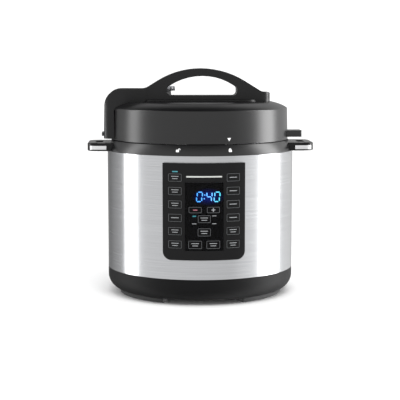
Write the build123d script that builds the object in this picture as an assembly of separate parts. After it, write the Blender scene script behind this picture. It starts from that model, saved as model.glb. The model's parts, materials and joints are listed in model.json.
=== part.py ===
from build123d import *
import os
from math import asin, cos, degrees, radians, sin, sqrt, tan

# Electric pressure cooker, in millimetres.
# Origin on the table, on the cooker's upright axis. +Z is up, the control panel faces -Y and
# the carrying handles lie along X. The lid is shown locked.
# A bearing is the angle round the axis from the middle of the front, positive towards +X.

# --- outer body, from the table up
FOOT_HEIGHT = 7.5
TRAY_HEIGHT = 31.1
SHELL_HEIGHT = 173.2
RING_HEIGHT = 15.3
BODY_R = 137.5
SHELL_WALL = 0.6
PLASTIC_WALL = 2.5
TRAY_WALL = 3.0
TRAY_CURVE = 22.0
TRAY_BEND = 19.5       # height above the tray's floor where its wall becomes upright
SPIGOT_HEIGHT = 5.0
SPIGOT_WALL = 2.2
RING_TAPER = 6.3
RING_TOP_WIDTH = 4.9

# --- fits
TOUCH_GAP = 0.3        # between pieces that move apart
SEAT_GAP = 0.15        # between pieces that only locate each other
SCREW_GAP = 0.1

# --- feet
FOOT_OUTER_R = 122.0
FOOT_WIDTH = 14.0
FOOT_TAPER = 1.0
FOOT_START = 28.0
FOOT_END = 80.0
VENT_CIRCLE = 92.0

# --- carrying handles and their bright inserts
HANDLE_REACH = 28.5    # past the steel shell
HANDLE_HALF = 38.0
HANDLE_THICK = 11.7
HANDLE_CORNER = 14.0
TRIM_INSET = 1.5
TRIM_HEIGHT = 5.8
TRIM_START = 0.5       # past the shell's radius
TRIM_WRAP = 5.0        # how far the insert runs back round the corner
SLOT_GAP = 0.6
SLOT_SETBACK = 22.0    # slot's inner side, inside the handle's end

# --- inner pot and what holds it
JACKET_WIDTH = 26.5    # from the pot's wall out to the shell
POT_DEPTH = 142.0
POT_WALL = 1.6
POT_CORNER = 16.0
POT_RIM_WIDTH = 6.0
POT_RIM_THICK = 2.0
LINER_GAP = 2.5
LINER_WALL = 0.7
FLANGE_THICK = 1.5
PLATE_MARGIN = 19.0    # heating plate inside the pot's wall
PLATE_THICK = 10.5
PLATE_LEG = 5.0
BRACKET_THICK = 1.2
POST_R = 4.5
POST_CIRCLE = 75.0

# --- power board
BOARD_HALF = (45.0, 27.0)
BOARD_THICK = 1.6
BOARD_UP = 9.0         # above the tray's floor
PEG_PLACE = (38.0, 20.0)

# --- temperature sensor
SENSOR_R = 17.5
SENSOR_CAP = 4.0
SENSOR_STEM_R = 5.0
SENSOR_WIRE_R = 0.7

# --- bayonet between the lid plate and the body
BAYONET_WALL = 2.2
TOOTH_REACH = 4.6
TOOTH_THICK = 3.0
TOOTH_COUNT = 6
TOOTH_ANGLE = 24.0
LUG_THICK = 2.2
LUG_GAP = 0.5
UNLOCK_ANGLE = 31.5

# --- lid
LID_STEP = 1.4         # lid wall inside the ring's top edge
LID_GAP = 0.8
LID_WALL_HEIGHT = 45.6
LID_DRAFT = 1.0
LID_CROWN = 9.0
LID_SHOULDER = 23.0
FIN_REACH = 20.5
FIN_HALF = 15.0
FIN_THICK = 9.4
FIN_HEIGHT = 2.5       # above the lid wall's lower edge
SMALL_FIN_PROUD = 3.2  # past the handle's arm, on the left
SMALL_FIN_THICK = 5.0
PLINTH_LENGTH = 184.0
PLINTH_WIDTH = 58.0
PLINTH_HEIGHT = 3.6

# --- lid handle
GRIP_RISE = 49.0       # top of the arch above the lid's crown
GRIP_RADIUS = 122.0
GRIP_SLOPE = 32.0
GRIP_CENTRE_X = 1.0
GRIP_THICK = 11.3
GRIP_HALF = 17.0
ARM_HALF = 28.0
ARM_TOP = 19.5         # above the crown
ARM_REACH = 12.2       # past the lid's wall
ARM_GAP = 1.1          # above the lid wall's lower edge
STUB_TOP = 14.1
STUB_HALF = 20.0
STUB_SETBACK = 26.7    # this and the next four are inside the lid wall's radius
ARM_WIDE_SETBACK = 18.1
ARM_NARROW_SETBACK = 58.1
STUB_WIDE_SETBACK = 48.1
STUB_NARROW_SETBACK = 68.1
HANDLE_SCREW_SETBACKS = (32.1, 54.1)
HOLE_CENTRE_X = 2.5
HOLE_SHARE = 1.051     # half length of the opening, per height of the arch
HOLE_FLOOR = 9.5
HOLE_CURVE = 1.709     # radius of the opening's upper side, per half length
HOLE_SLOPE = 33.0

# --- lid plate, seal and valves
LID_PLATE_WALL = 1.6
SEAL_HEIGHT = 14.3
SEAL_WIDTH = 11.0
RACK_WIRE_R = 1.3
RACK_ROD_R = 1.2
STEAM_X = -50.0
STEAM_Y = 60.0
PIPE_R = 5.0
PIPE_BORE_R = 2.5
VALVE_CAP_R = 14.3
VALVE_BODY_R = 8.4
VALVE_RISE = 21.5      # top of the valve above the crown
SHIELD_R = 13.0
SHIELD_DEPTH = 12.0
FLOAT_X = 40.0
FLOAT_Y = 60.0
FLOAT_R = 3.5
FLOAT_TRAVEL = 6.0
SLIDER_WIDTH = 12.0
SLIDER_LENGTH = 60.0
SLIDER_TRAVEL = 8.0
SLIDER_THICK = 3.0
SLIDER_BACK = 8.0      # slider's rear end behind the float valve
SPRING_ROOM = 13.0     # from the drawn slider back to the stop's far side
STOP_THICK = 2.5
SCREW_R = 1.9
SCREW_HEAD_R = 3.8
SCREW_HEAD = 2.2
LID_SCREW_CIRCLE = 88.0

# --- control panel
PANEL_WIDTH = 115.2
PANEL_LOW = 28.2       # above the shell's lower edge
PANEL_HEIGHT = 135.8
PANEL_PROUD = 3.8
PANEL_FACE = 2.3
PANEL_CORNER = 12.0
PANEL_LIP = 4.0
WINDOW_WIDTH = 54.0
WINDOW_HEIGHT = 95.2
WINDOW_LOW = 13.7      # above the panel's lower edge
KEY_PROUD = 0.25
KEY_DEPTH = 2.6
KEY_GAP = 0.3
KEY_CORNER = 1.6
SIDE_KEY_WIDTH = 19.6
SIDE_KEY_HEIGHT = 11.4
SIDE_KEY_ARC = 40.0
SIDE_KEY_PITCH = 18.7
SIDE_KEY_ROWS = 6
BOTTOM_ROW = 22.2      # key centre above the panel's lower edge
MAT_THICK = 1.4
LIGHT_WIDTH = 8.0      # light over the first key
LIGHT_HEIGHT = 1.4
LAMP_ARC = 13.6        # lamps each side of the pressure key

# --- display
DIGIT_X = (-6.4, 7.0, 18.0)
COLON_X = 0.6
DIGIT_WIDTH = 8.6
DIGIT_HEIGHT = 14.6
DIGIT_BAR = 1.5
DIGIT_LEAN = 8.0
DIGIT_THICK = 0.5
DISPLAY_DROP = 20.2    # middle of the digits below the window's upper edge
DISPLAY_HALF = (23.0, 15.0)

# --- power inlet at the back
INLET_WIDTH = 34.0
INLET_HEIGHT = 26.0
INLET_UP = 21.5        # centre above the shell's lower edge
INLET_CAVITY = (24.4, 17.0, 16.0)
PIN_SIZE = (4.0, 2.0, 14.0)
PIN_SPACING = 7.0

# --- condensation cup at the back
CUP_WIDTH = 54.0
CUP_DEPTH = 21.0
CUP_HEIGHT = 36.0
CUP_WALL = 1.6
CUP_DROP = 9.0         # cup's rim below the top of the shell

# heights and radii that follow from the values above
SHELL_Z = FOOT_HEIGHT + TRAY_HEIGHT
RING_Z = SHELL_Z + SHELL_HEIGHT
RING_TOP_Z = RING_Z + RING_HEIGHT
RING_R = BODY_R + 0.3
RING_TOP_R = RING_R - RING_TAPER
RING_INNER_R = RING_TOP_R - RING_TOP_WIDTH
LID_Z = RING_TOP_Z + LID_GAP
LID_R = RING_TOP_R - LID_STEP
LID_EDGE_Z = LID_Z + LID_WALL_HEIGHT
CROWN_Z = LID_EDGE_Z + LID_CROWN
CROWN_R = LID_R - LID_SHOULDER
STUB_END_X = LID_R - STUB_SETBACK
HOLE_TOP = GRIP_RISE - GRIP_THICK
HOLE_HALF = HOLE_SHARE * GRIP_RISE
HOLE_RADIUS = HOLE_CURVE * HOLE_HALF
POT_R = BODY_R - JACKET_WIDTH
POT_RIM_Z = RING_Z + TOUCH_GAP
POT_BOTTOM_Z = POT_RIM_Z + POT_RIM_THICK - POT_DEPTH
PLATE_TOP_Z = POT_BOTTOM_Z - TOUCH_GAP
PLATE_Z = PLATE_TOP_Z - PLATE_THICK
BRACKET_TOP_Z = PLATE_Z - PLATE_LEG
BRACKET_Z = BRACKET_TOP_Z - BRACKET_THICK
PLATE_R = POT_R - PLATE_MARGIN
LINER_R = POT_R + LINER_GAP
TRAY_R = BODY_R - 0.1
TRAY_FLOOR_Z = FOOT_HEIGHT + TRAY_WALL
BAYONET_R = RING_INNER_R - SEAT_GAP
TOOTH_R = BAYONET_R - BAYONET_WALL - TOOTH_REACH
POT_TOP_Z = POT_RIM_Z + POT_RIM_THICK
SEAL_Z = POT_TOP_Z + TOUCH_GAP
LID_PLATE_Z = SEAL_Z + SEAL_HEIGHT + TOUCH_GAP
LID_PLATE_TOP_Z = LID_PLATE_Z + LID_PLATE_WALL
SKIRT_R = TOOTH_R - 0.8
LUG_Z = SEAL_Z + 2.6
LUG_TOP_Z = LUG_Z + LUG_THICK
TOOTH_Z = LUG_TOP_Z + LUG_GAP
LUG_R = BAYONET_R - BAYONET_WALL - 0.8
SEAL_R = SKIRT_R - LID_PLATE_WALL - TOUCH_GAP
SEAL_INNER_R = SEAL_R - SEAL_WIDTH
PANEL_Z = SHELL_Z + PANEL_LOW
PANEL_R = BODY_R + PANEL_PROUD
WINDOW_Z = PANEL_Z + WINDOW_LOW


def tube(outer_r, inner_r, bottom, top):
    """Upright tube, or a plain disc when the inner radius is 0."""
    low = (Align.CENTER, Align.CENTER, Align.MIN)
    solid = Pos(0, 0, bottom) * Cylinder(outer_r, top - bottom, align=low)
    if inner_r > 0:
        solid -= Pos(0, 0, bottom - 1) * Cylinder(inner_r, top - bottom + 2, align=low)
    return solid


def turned(points, start=0.0, arc=360.0):
    """Closed (radius, height) outline turned about the axis, from one bearing over an arc."""
    face = make_face(Plane.XZ * Polyline(*points, close=True))
    return Rot(0, 0, start - 90) * revolve(face, Axis.Z, arc)


def block(low, high):
    """Box between two corners."""
    size = [high[i] - low[i] for i in range(3)]
    return Pos(*low) * Box(*size, align=(Align.MIN, Align.MIN, Align.MIN))


def bowl(radius, curve, bottom, bend_z, top):
    """Solid turned bowl with a flat bottom, an arc that ends upright at bend_z, and a straight rim."""
    drop = min((bend_z - bottom) / curve, 1.0)
    angle = degrees(asin(drop))
    arc = CenterArc((radius - curve, bend_z), curve, -angle, angle)
    start = arc @ 0
    end = arc @ 1
    rest = Polyline((end.X, end.Y), (radius, top), (0, top), (0, bottom), (start.X, start.Y))
    return revolve(make_face(Plane.XZ * Curve([arc, *rest.edges()])), Axis.Z)


def front_prism(sketch, bearing=0.0, z=0.0):
    """Sketch of (across, up) pushed out from the axis to the front, then swung to a bearing."""
    reach = BODY_R + 40
    return Rot(0, 0, bearing) * extrude(Plane((0, 0, z), (1, 0, 0), (0, -1, 0)) * sketch, reach)


def bearing_of(arc_length):
    """Bearing of a place on the panel given by its distance round the steel shell."""
    return degrees(arc_length / BODY_R)


def at_bearing(radius, bearing):
    return radius * sin(radians(bearing)), -radius * cos(radians(bearing))


def spring(wire_r, coil_r, length, turns):
    """Coil spring along +Z from the origin."""
    path = Helix(length / turns, length, coil_r)
    section = Plane(path @ 0, z_dir=path % 0) * Circle(wire_r)
    return sweep(section, path)


# ---------------------------------------------------------------- base

def base_tray():
    """Curved black tray that carries the steel shell, with screw holes and air slots."""
    bend_z = FOOT_HEIGHT + TRAY_BEND
    tray = bowl(TRAY_R, TRAY_CURVE, FOOT_HEIGHT, bend_z, SHELL_Z)
    inner_r = TRAY_R - TRAY_WALL
    tray -= bowl(inner_r, TRAY_CURVE - TRAY_WALL, TRAY_FLOOR_Z, bend_z, SHELL_Z + 1)
    spigot_r = BODY_R - SHELL_WALL - SEAT_GAP
    tray += tube(spigot_r, spigot_r - SPIGOT_WALL, SHELL_Z - 2, SHELL_Z + SPIGOT_HEIGHT)
    for x, y in post_places():
        tray += Pos(x, y) * tube(POST_R + 1.5, 0, TRAY_FLOOR_Z - 0.5, TRAY_FLOOR_Z + 5)
        tray -= Pos(x, y) * tube(POST_R + SEAT_GAP, 0, TRAY_FLOOR_Z + 1.5, TRAY_FLOOR_Z + 6)
        tray -= Pos(x, y) * tube(SCREW_R + SCREW_GAP, 0, FOOT_HEIGHT - 1, TRAY_FLOOR_Z + 6)
        head_r = SCREW_HEAD_R + SCREW_GAP
        tray -= Pos(x, y) * tube(head_r, 0, FOOT_HEIGHT - 1, FOOT_HEIGHT + SCREW_HEAD)
    for x, y in board_places():
        tray += Pos(x, y) * tube(3, 0, TRAY_FLOOR_Z - 0.5, board_z())
    slot = SlotOverall(22, 4)
    for k in range(12):
        x, y = at_bearing(VENT_CIRCLE, k * 30 + 15)
        tray -= Pos(x, y, FOOT_HEIGHT - 1) * Rot(0, 0, k * 30 + 105) * extrude(slot, TRAY_WALL + 2)
    return tray


def post_places():
    """Where the heater bracket's four legs stand."""
    return [at_bearing(POST_CIRCLE, bearing) for bearing in (45, 135, 225, 315)]


def board_z():
    return TRAY_FLOOR_Z + BOARD_UP


def board_places():
    x, y = PEG_PLACE
    return [(-x, -y), (-x, y), (x, -y), (x, y)]


def rubber_feet():
    """Four long soft pads bent round the edge of the tray."""
    inner_r = FOOT_OUTER_R - FOOT_WIDTH
    outline = [
        (inner_r, FOOT_HEIGHT),
        (inner_r + FOOT_TAPER, 0),
        (FOOT_OUTER_R - FOOT_TAPER, 0),
        (FOOT_OUTER_R, FOOT_HEIGHT),
    ]
    arc = FOOT_END - FOOT_START
    starts = (FOOT_START, 180 - FOOT_END, 180 + FOOT_START, 360 - FOOT_END)
    return [turned(outline, start, arc) for start in starts]


def outer_shell():
    """Thin steel drum with openings for the control panel and the power inlet."""
    shell = tube(BODY_R, BODY_R - SHELL_WALL, SHELL_Z, RING_Z)
    middle = PANEL_Z + PANEL_HEIGHT / 2
    opening = Rectangle(PANEL_WIDTH - 2 * PANEL_LIP, PANEL_HEIGHT - 2 * PANEL_LIP)
    shell -= front_prism(opening, 0, middle)
    inlet = Rectangle(INLET_WIDTH + 2 * SEAT_GAP, INLET_HEIGHT + 2 * SEAT_GAP)
    shell -= front_prism(inlet, 180, SHELL_Z + INLET_UP)
    return shell


def ring_outside():
    """Solid that the outside of the top ring follows."""
    points = [(0, RING_Z), (RING_R, RING_Z), (RING_TOP_R, RING_TOP_Z), (0, RING_TOP_Z)]
    return turned(points)


def top_ring():
    """Hollow plastic collar on top of the shell, with a drip spout at the back."""
    inner_r = RING_INNER_R
    ring = ring_outside() - tube(inner_r, 0, RING_Z - 1, RING_TOP_Z + 1)
    roof_z = RING_TOP_Z - PLASTIC_WALL
    slope = RING_TAPER / RING_HEIGHT
    roof_r = RING_TOP_R + PLASTIC_WALL * slope - PLASTIC_WALL
    hollow = [
        (inner_r + PLASTIC_WALL, RING_Z - 1),
        (inner_r + PLASTIC_WALL, roof_z),
        (roof_r, roof_z),
        (RING_R - PLASTIC_WALL, RING_Z),
        (RING_R - PLASTIC_WALL, RING_Z - 1),
    ]
    ring -= turned(hollow)
    spigot_r = BODY_R - SHELL_WALL - SEAT_GAP
    ring += tube(spigot_r, spigot_r - SPIGOT_WALL, RING_Z - SPIGOT_HEIGHT, RING_Z + 2)
    spout_y = BODY_R + 5
    spout = Pos(0, spout_y) * tube(5, 0, RING_Z - 6, RING_Z + 6)
    spout += block((-5, BODY_R - 4, RING_Z + 2), (5, spout_y, RING_Z + 6))
    spout -= Pos(0, spout_y) * tube(3, 0, RING_Z - 7, RING_Z + 4)
    spout -= ring_outside()
    shell_side = tube(BODY_R, 0, RING_Z - 10, RING_Z)
    return ring + (spout - shell_side)


def handle_outline(inset=0.0):
    """Plan of both carrying handles as one rounded bar, pulled in by an inset."""
    reach = BODY_R + HANDLE_REACH - inset
    return RectangleRounded(2 * reach, 2 * (HANDLE_HALF - inset), HANDLE_CORNER - inset)


def trim_band(side):
    """Bar that the bright insert fills, on the front face and round the outer corner."""
    middle = RING_Z + HANDLE_THICK / 2 - 1
    low = middle - TRIM_HEIGHT / 2
    band = extrude(Pos(0, 0, low) * handle_outline(), TRIM_HEIGHT)
    band -= extrude(Pos(0, 0, low - 1) * handle_outline(TRIM_INSET), TRIM_HEIGHT + 2)
    start_x = BODY_R + TRIM_START
    reach = BODY_R + HANDLE_REACH + 1
    back_y = TRIM_WRAP - HANDLE_HALF
    window = block((start_x, -HANDLE_HALF - 1, low - 1), (reach, back_y, low + TRIM_HEIGHT + 1))
    if side < 0:
        window = mirror(window, Plane.YZ)
    return band & window


def side_handle(side):
    """Carrying handle with the slot that holds the lid on its edge."""
    bar = extrude(Pos(0, 0, RING_Z) * handle_outline(), HANDLE_THICK)
    bar &= block((0, -60, RING_Z), (BODY_R + 60, 60, RING_TOP_Z))
    slot_x = BODY_R + HANDLE_REACH - SLOT_SETBACK
    half = FIN_HALF + SLOT_GAP
    slot_end = slot_x + FIN_THICK + 2 * SLOT_GAP
    bar -= block((slot_x, -half, RING_Z - 1), (slot_end, half, RING_TOP_Z))
    if side < 0:
        bar = mirror(bar, Plane.YZ)
    return bar - ring_outside() - trim_band(side)


# ---------------------------------------------------------------- heating and inside

def heat_liner():
    """Inner steel housing that the pot hangs in, flanged out to the ring at the top."""
    liner = tube(LINER_R + LINER_WALL, LINER_R, BRACKET_TOP_Z, RING_Z)
    liner += tube(LINER_R + LINER_WALL, LINER_R - 10, BRACKET_TOP_Z, BRACKET_TOP_Z + LINER_WALL)
    flange_r = BODY_R - SHELL_WALL - 2 * SEAT_GAP - SPIGOT_WALL - 0.2
    liner += tube(flange_r, LINER_R, RING_Z - FLANGE_THICK, RING_Z)
    return liner


def bayonet_ring():
    """Steel collar with the inward teeth that hold the lid down."""
    wall_r = BAYONET_R - BAYONET_WALL
    top = TOOTH_Z + TOOTH_THICK
    collar = tube(BAYONET_R, wall_r, RING_Z, top + 1)
    outline = [(TOOTH_R, TOOTH_Z), (wall_r + 0.5, TOOTH_Z), (wall_r + 0.5, top), (TOOTH_R, top)]
    for k in range(TOOTH_COUNT):
        collar += turned(outline, k * 360 / TOOTH_COUNT - TOOTH_ANGLE / 2, TOOTH_ANGLE)
    return collar


def heater_bracket():
    """Steel plate on four legs that carries the heating plate and guides the sensor."""
    bracket = tube(LINER_R - 1, 0, BRACKET_Z, BRACKET_TOP_Z)
    bracket -= tube(SENSOR_STEM_R + TOUCH_GAP, 0, BRACKET_Z - 1, BRACKET_TOP_Z + 1)
    foot_z = TRAY_FLOOR_Z + 1.5
    for x, y in post_places():
        bracket += Pos(x, y) * tube(POST_R, 0, foot_z, BRACKET_Z + 0.5)
        bracket -= Pos(x, y) * tube(SCREW_R, 0, foot_z - 1, foot_z + 9)
    for k in range(8):
        x, y = at_bearing(50, k * 45)
        bracket -= Pos(x, y) * tube(7, 0, BRACKET_Z - 1, BRACKET_TOP_Z + 1)
    return bracket


def heating_plate():
    """Cast plate with the heater ring cast into its underside and a hole for the sensor."""
    plate = tube(PLATE_R, SENSOR_R + 1.5, PLATE_Z, PLATE_TOP_Z)
    plate = chamfer(plate.edges().filter_by(GeomType.CIRCLE).sort_by(Axis.Z)[-1], 0.8)
    plate += tube(PLATE_R - 16, PLATE_R - 24, BRACKET_TOP_Z, PLATE_Z + 0.5)
    return plate


def sensor_button():
    """Sprung temperature sensor in the middle of the heating plate."""
    cap = tube(SENSOR_R, 0, PLATE_TOP_Z - SENSOR_CAP, PLATE_TOP_Z)
    return cap + tube(SENSOR_STEM_R, 0, BRACKET_Z - 8, PLATE_TOP_Z - 1)


def sensor_spring():
    length = PLATE_TOP_Z - SENSOR_CAP - BRACKET_TOP_Z - 2 * SENSOR_WIRE_R - 0.2
    coil = spring(SENSOR_WIRE_R, SENSOR_STEM_R + 3, length, 3.5)
    return Pos(0, 0, BRACKET_TOP_Z + SENSOR_WIRE_R + 0.1) * coil


def inner_pot():
    """Removable cooking pot with a flat rim."""
    bend_z = POT_BOTTOM_Z + POT_CORNER
    pot = bowl(POT_R, POT_CORNER, POT_BOTTOM_Z, bend_z, POT_TOP_Z)
    pot += tube(POT_R + POT_RIM_WIDTH, 0, POT_RIM_Z, POT_TOP_Z)
    inner_r, floor_z = POT_R - POT_WALL, POT_BOTTOM_Z + POT_WALL
    return pot - bowl(inner_r, POT_CORNER - POT_WALL, floor_z, bend_z, POT_TOP_Z + 1)


def power_board():
    """Circuit board with its relay, transformer, capacitor and terminals."""
    x, y = BOARD_HALF
    top = board_z() + BOARD_THICK
    foot = top - 0.1
    relay = block((-40, -22, foot), (-22, -4, top + 14))
    transformer = block((-14, -22, foot), (10, 2, top + 16))
    capacitor = Pos(26, -12) * tube(7, 0, foot, top + 15)
    mains_terminals = block((-40, 10, foot), (-10, 20, top + 8))
    heater_terminals = block((14, 10, foot), (40, 20, top + 8))
    board = block((-x, -y, board_z()), (x, y, top))
    return board + relay + transformer + capacitor + mains_terminals + heater_terminals


def base_screws():
    """Four screws that draw the tray up to the heater bracket's legs."""
    screws = []
    head_top = FOOT_HEIGHT + SCREW_HEAD
    for x, y in post_places():
        screw = tube(SCREW_HEAD_R, 0, FOOT_HEIGHT + 0.1, head_top)
        screw += tube(SCREW_R - 0.05, 0, head_top - 0.5, TRAY_FLOOR_Z + 9.5)
        screws.append(Pos(x, y) * screw)
    return screws


# ---------------------------------------------------------------- control panel

def panel_outline(inset=0.0):
    """Front view of the panel: square upper corners, round lower corners. Centred on the panel."""
    half = PANEL_WIDTH / 2 - inset
    up = PANEL_HEIGHT / 2 - inset
    points = [(-half, -up), (half, -up), (half, up), (-half, up)]
    round_r = PANEL_CORNER - inset
    return make_face(FilletPolyline(*points, radius=(round_r, round_r, 1, 1), close=True))


def key_places():
    """Name, bearing, height, width and height of every key."""
    row_z = PANEL_Z + BOTTOM_ROW
    keys = []
    for column, arc in (("left", -SIDE_KEY_ARC), ("right", SIDE_KEY_ARC)):
        for row in range(SIDE_KEY_ROWS):
            z = row_z + (SIDE_KEY_ROWS - 1 - row) * SIDE_KEY_PITCH
            name = f"key_{column}_{row + 1}"
            keys.append((name, bearing_of(arc), z, SIDE_KEY_WIDTH, SIDE_KEY_HEIGHT))
    for name, arc, up, width, height in (
        ("key_minus", -12.3, 48.7, 18.3, 9.0),
        ("key_plus", 12.3, 48.7, 18.3, 9.0),
        ("key_pressure", 0.0, 36.0, 18.0, 11.0),
        ("key_temperature", 0.0, 17.5, 18.6, 11.4),
        ("key_start", -12.3, 0.0, 19.4, 11.8),
        ("key_stop", 12.3, 0.0, 19.4, 11.8),
    ):
        keys.append((name, bearing_of(arc), row_z + up, width, height))
    return keys


def key_cap(bearing, z, width, height):
    """Key whose face follows the panel and whose sides run straight along its travel."""
    outer = PANEL_R + KEY_PROUD
    sheet = tube(outer, outer - KEY_DEPTH, z - height, z + height)
    return sheet & front_prism(RectangleRounded(width, height, KEY_CORNER), bearing, z)


def key_hole(bearing, z, width, height):
    grown = RectangleRounded(width + 2 * KEY_GAP, height + 2 * KEY_GAP, KEY_CORNER + KEY_GAP)
    return front_prism(grown, bearing, z)


def panel_bezel():
    """Curved frame that stands proud of the shell, open for the window and the side keys."""
    middle = PANEL_Z + PANEL_HEIGHT / 2
    top = PANEL_Z + PANEL_HEIGHT
    back_r = PANEL_R - PANEL_FACE
    face = tube(PANEL_R, back_r, PANEL_Z, top) & front_prism(panel_outline(), 0, middle)
    rim = tube(back_r, BODY_R, PANEL_Z, top) & front_prism(panel_outline(), 0, middle)
    rim -= front_prism(panel_outline(PLASTIC_WALL), 0, middle)
    bezel = face + rim
    window = Rectangle(WINDOW_WIDTH + 2 * SEAT_GAP, WINDOW_HEIGHT + 2 * SEAT_GAP)
    bezel -= front_prism(window, 0, WINDOW_Z + WINDOW_HEIGHT / 2)
    for name, bearing, z, width, height in key_places():
        if name.startswith("key_left") or name.startswith("key_right"):
            bezel -= key_hole(bearing, z, width, height)
    bezel -= light_slot(SEAT_GAP)
    return bezel


def panel_window():
    """Smoked window over the display, open for the six middle keys."""
    face_r = PANEL_R - 0.2
    window = tube(face_r, face_r - 2, WINDOW_Z, WINDOW_Z + WINDOW_HEIGHT)
    window &= front_prism(Rectangle(WINDOW_WIDTH, WINDOW_HEIGHT), 0, WINDOW_Z + WINDOW_HEIGHT / 2)
    for name, bearing, z, width, height in key_places():
        if not (name.startswith("key_left") or name.startswith("key_right")):
            window -= key_hole(bearing, z, width, height)
    return window


def light_slot(grow=0.0):
    """Slot for the light over the first key on the left."""
    z = PANEL_Z + BOTTOM_ROW + (SIDE_KEY_ROWS - 1) * SIDE_KEY_PITCH + SIDE_KEY_HEIGHT / 2 + 2.6
    outline = RectangleRounded(LIGHT_WIDTH + 2 * grow, LIGHT_HEIGHT + 2 * grow, 0.6)
    return front_prism(outline, bearing_of(-SIDE_KEY_ARC), z)


def indicator_lights():
    """Light over the first key, and four lights behind the window round the pressure key."""
    lights = [tube(PANEL_R, PANEL_R - PANEL_FACE, PANEL_Z, PANEL_Z + PANEL_HEIGHT) & light_slot()]
    back_r = PANEL_R - 2.4
    band = tube(back_r, back_r - 0.6, PANEL_Z, PANEL_Z + PANEL_HEIGHT)
    z = PANEL_Z + BOTTOM_ROW + 36.0
    for arc in (-LAMP_ARC, LAMP_ARC):
        for up in (3.6, -5.4):
            lights.append(band & front_prism(RectangleRounded(5, 1.6, 0.6), bearing_of(arc), z + up))
    return lights


def keypad_mat():
    """Rubber sheet behind the keys that springs them back."""
    middle = PANEL_Z + PANEL_HEIGHT / 2
    outer = BODY_R
    sheet = tube(outer, outer - MAT_THICK, PANEL_Z, PANEL_Z + PANEL_HEIGHT)
    inset = PANEL_LIP + 0.5
    sheet &= front_prism(Rectangle(PANEL_WIDTH - 2 * inset, PANEL_HEIGHT - 2 * inset), 0, middle)
    return sheet - front_prism(Rectangle(50, 34), 0, display_z())


def display_z():
    """Height of the middle of the digits."""
    return WINDOW_Z + WINDOW_HEIGHT - DISPLAY_DROP


def display_face_y():
    return -(BODY_R - 1.6)


def control_board():
    """Flat circuit board behind the panel, with the dark block that holds the digits."""
    y = board_y()
    board = block((-47, y, PANEL_Z + 8), (47, y + BOARD_THICK, PANEL_Z + PANEL_HEIGHT - 8))
    z = display_z()
    half, up = DISPLAY_HALF
    return board + block((-half, display_face_y(), z - up), (half, y + 0.5, z + up))


def board_y():
    half = 50
    return -sqrt((BODY_R - SHELL_WALL - 3) ** 2 - half ** 2)


def digit(x, z, lit):
    """Seven-segment digit, leaning to the right. Segments are named a to g from the top round."""
    width, height, bar = DIGIT_WIDTH, DIGIT_HEIGHT, DIGIT_BAR
    half_w, half_h = (width - bar) / 2, (height - bar) / 2
    level = RectangleRounded(width - 2.2 * bar, bar, bar / 2 - 0.05)
    upright = RectangleRounded(bar, half_h - 1.1 * bar, bar / 2 - 0.05)
    places = {
        "a": (0, half_h, level), "d": (0, -half_h, level), "g": (0, 0, level),
        "b": (half_w, half_h / 2, upright), "c": (half_w, -half_h / 2, upright),
        "e": (-half_w, -half_h / 2, upright), "f": (-half_w, half_h / 2, upright),
    }
    lean = tan(radians(DIGIT_LEAN))
    face_y = display_face_y()
    pieces = []
    for name in lit:
        px, pz, shape = places[name]
        flat = Plane((x + px + pz * lean, face_y, z + pz), (1, 0, 0), (0, -1, 0)) * shape
        pieces.append(extrude(flat, DIGIT_THICK))
    return pieces


def display_digits():
    """The lit digits 0:40."""
    z = display_z()
    lit = ("abcdef", "bcfg", "abcdef")
    pieces = []
    for x, segments in zip(DIGIT_X, lit):
        pieces += digit(x, z, segments)
    for up in (-2.6, 2.6):
        x = COLON_X + up * tan(radians(DIGIT_LEAN))
        dot = Plane((x, display_face_y(), z + up), (1, 0, 0), (0, -1, 0)) * Circle(0.9)
        pieces.append(extrude(dot, DIGIT_THICK))
    return pieces


# ---------------------------------------------------------------- marks

def padlock(closed):
    """Small padlock outline, centred on the origin."""
    body = Pos(0, -1.1) * RectangleRounded(4.2, 3.2, 0.5)
    bow = Pos(0, 0.5) * (Circle(1.7) - Circle(1.0))
    bow &= Pos(0, 1.9) * Rectangle(5, 3.6)
    shift = 0 if closed else 2.3
    return body + Pos(shift, 0) * bow


def lock_icons():
    """Open and closed padlocks printed on the top ring."""
    z = RING_Z + 8.2
    film = turned(raised_cone(RING_R, RING_TOP_R, RING_Z, RING_TOP_Z))
    closed = film & front_prism(padlock(True), UNLOCK_ANGLE / 2, z)
    opened = film & front_prism(padlock(False), -UNLOCK_ANGLE / 2, z)
    return closed.solids() + opened.solids()


def raised_cone(low_r, high_r, low_z, high_z, height=0.2):
    return [(low_r, low_z), (low_r + height, low_z), (high_r + height, high_z), (high_r, high_z)]


def lid_mark():
    """Small triangle on the lid that points at the padlocks."""
    triangle = make_face(Polyline((-2.6, 2.2), (2.6, 2.2), (0, -2.2), close=True))
    film = turned(raised_cone(LID_R, LID_R - LID_DRAFT, LID_Z, LID_EDGE_Z))
    return film & front_prism(triangle, UNLOCK_ANGLE / 2, LID_Z + 6.2)


# ---------------------------------------------------------------- back of the body

def inlet_z():
    return SHELL_Z + INLET_UP


def inlet_face_y():
    return BODY_R + 2.5


def power_inlet():
    """Moulded socket for a plug-in mains lead."""
    z = inlet_z()
    face_y = inlet_face_y()
    wide, high, deep = INLET_CAVITY
    half, up = INLET_WIDTH / 2, INLET_HEIGHT / 2
    flange = block((-half, face_y - 6, z - up), (half, face_y, z + up))
    half, up = wide / 2 + 2, high / 2 + 2
    body = block((-half, face_y - deep - 3, z - up), (half, face_y - 3, z + up))
    return flange + body - inlet_cavity()


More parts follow.
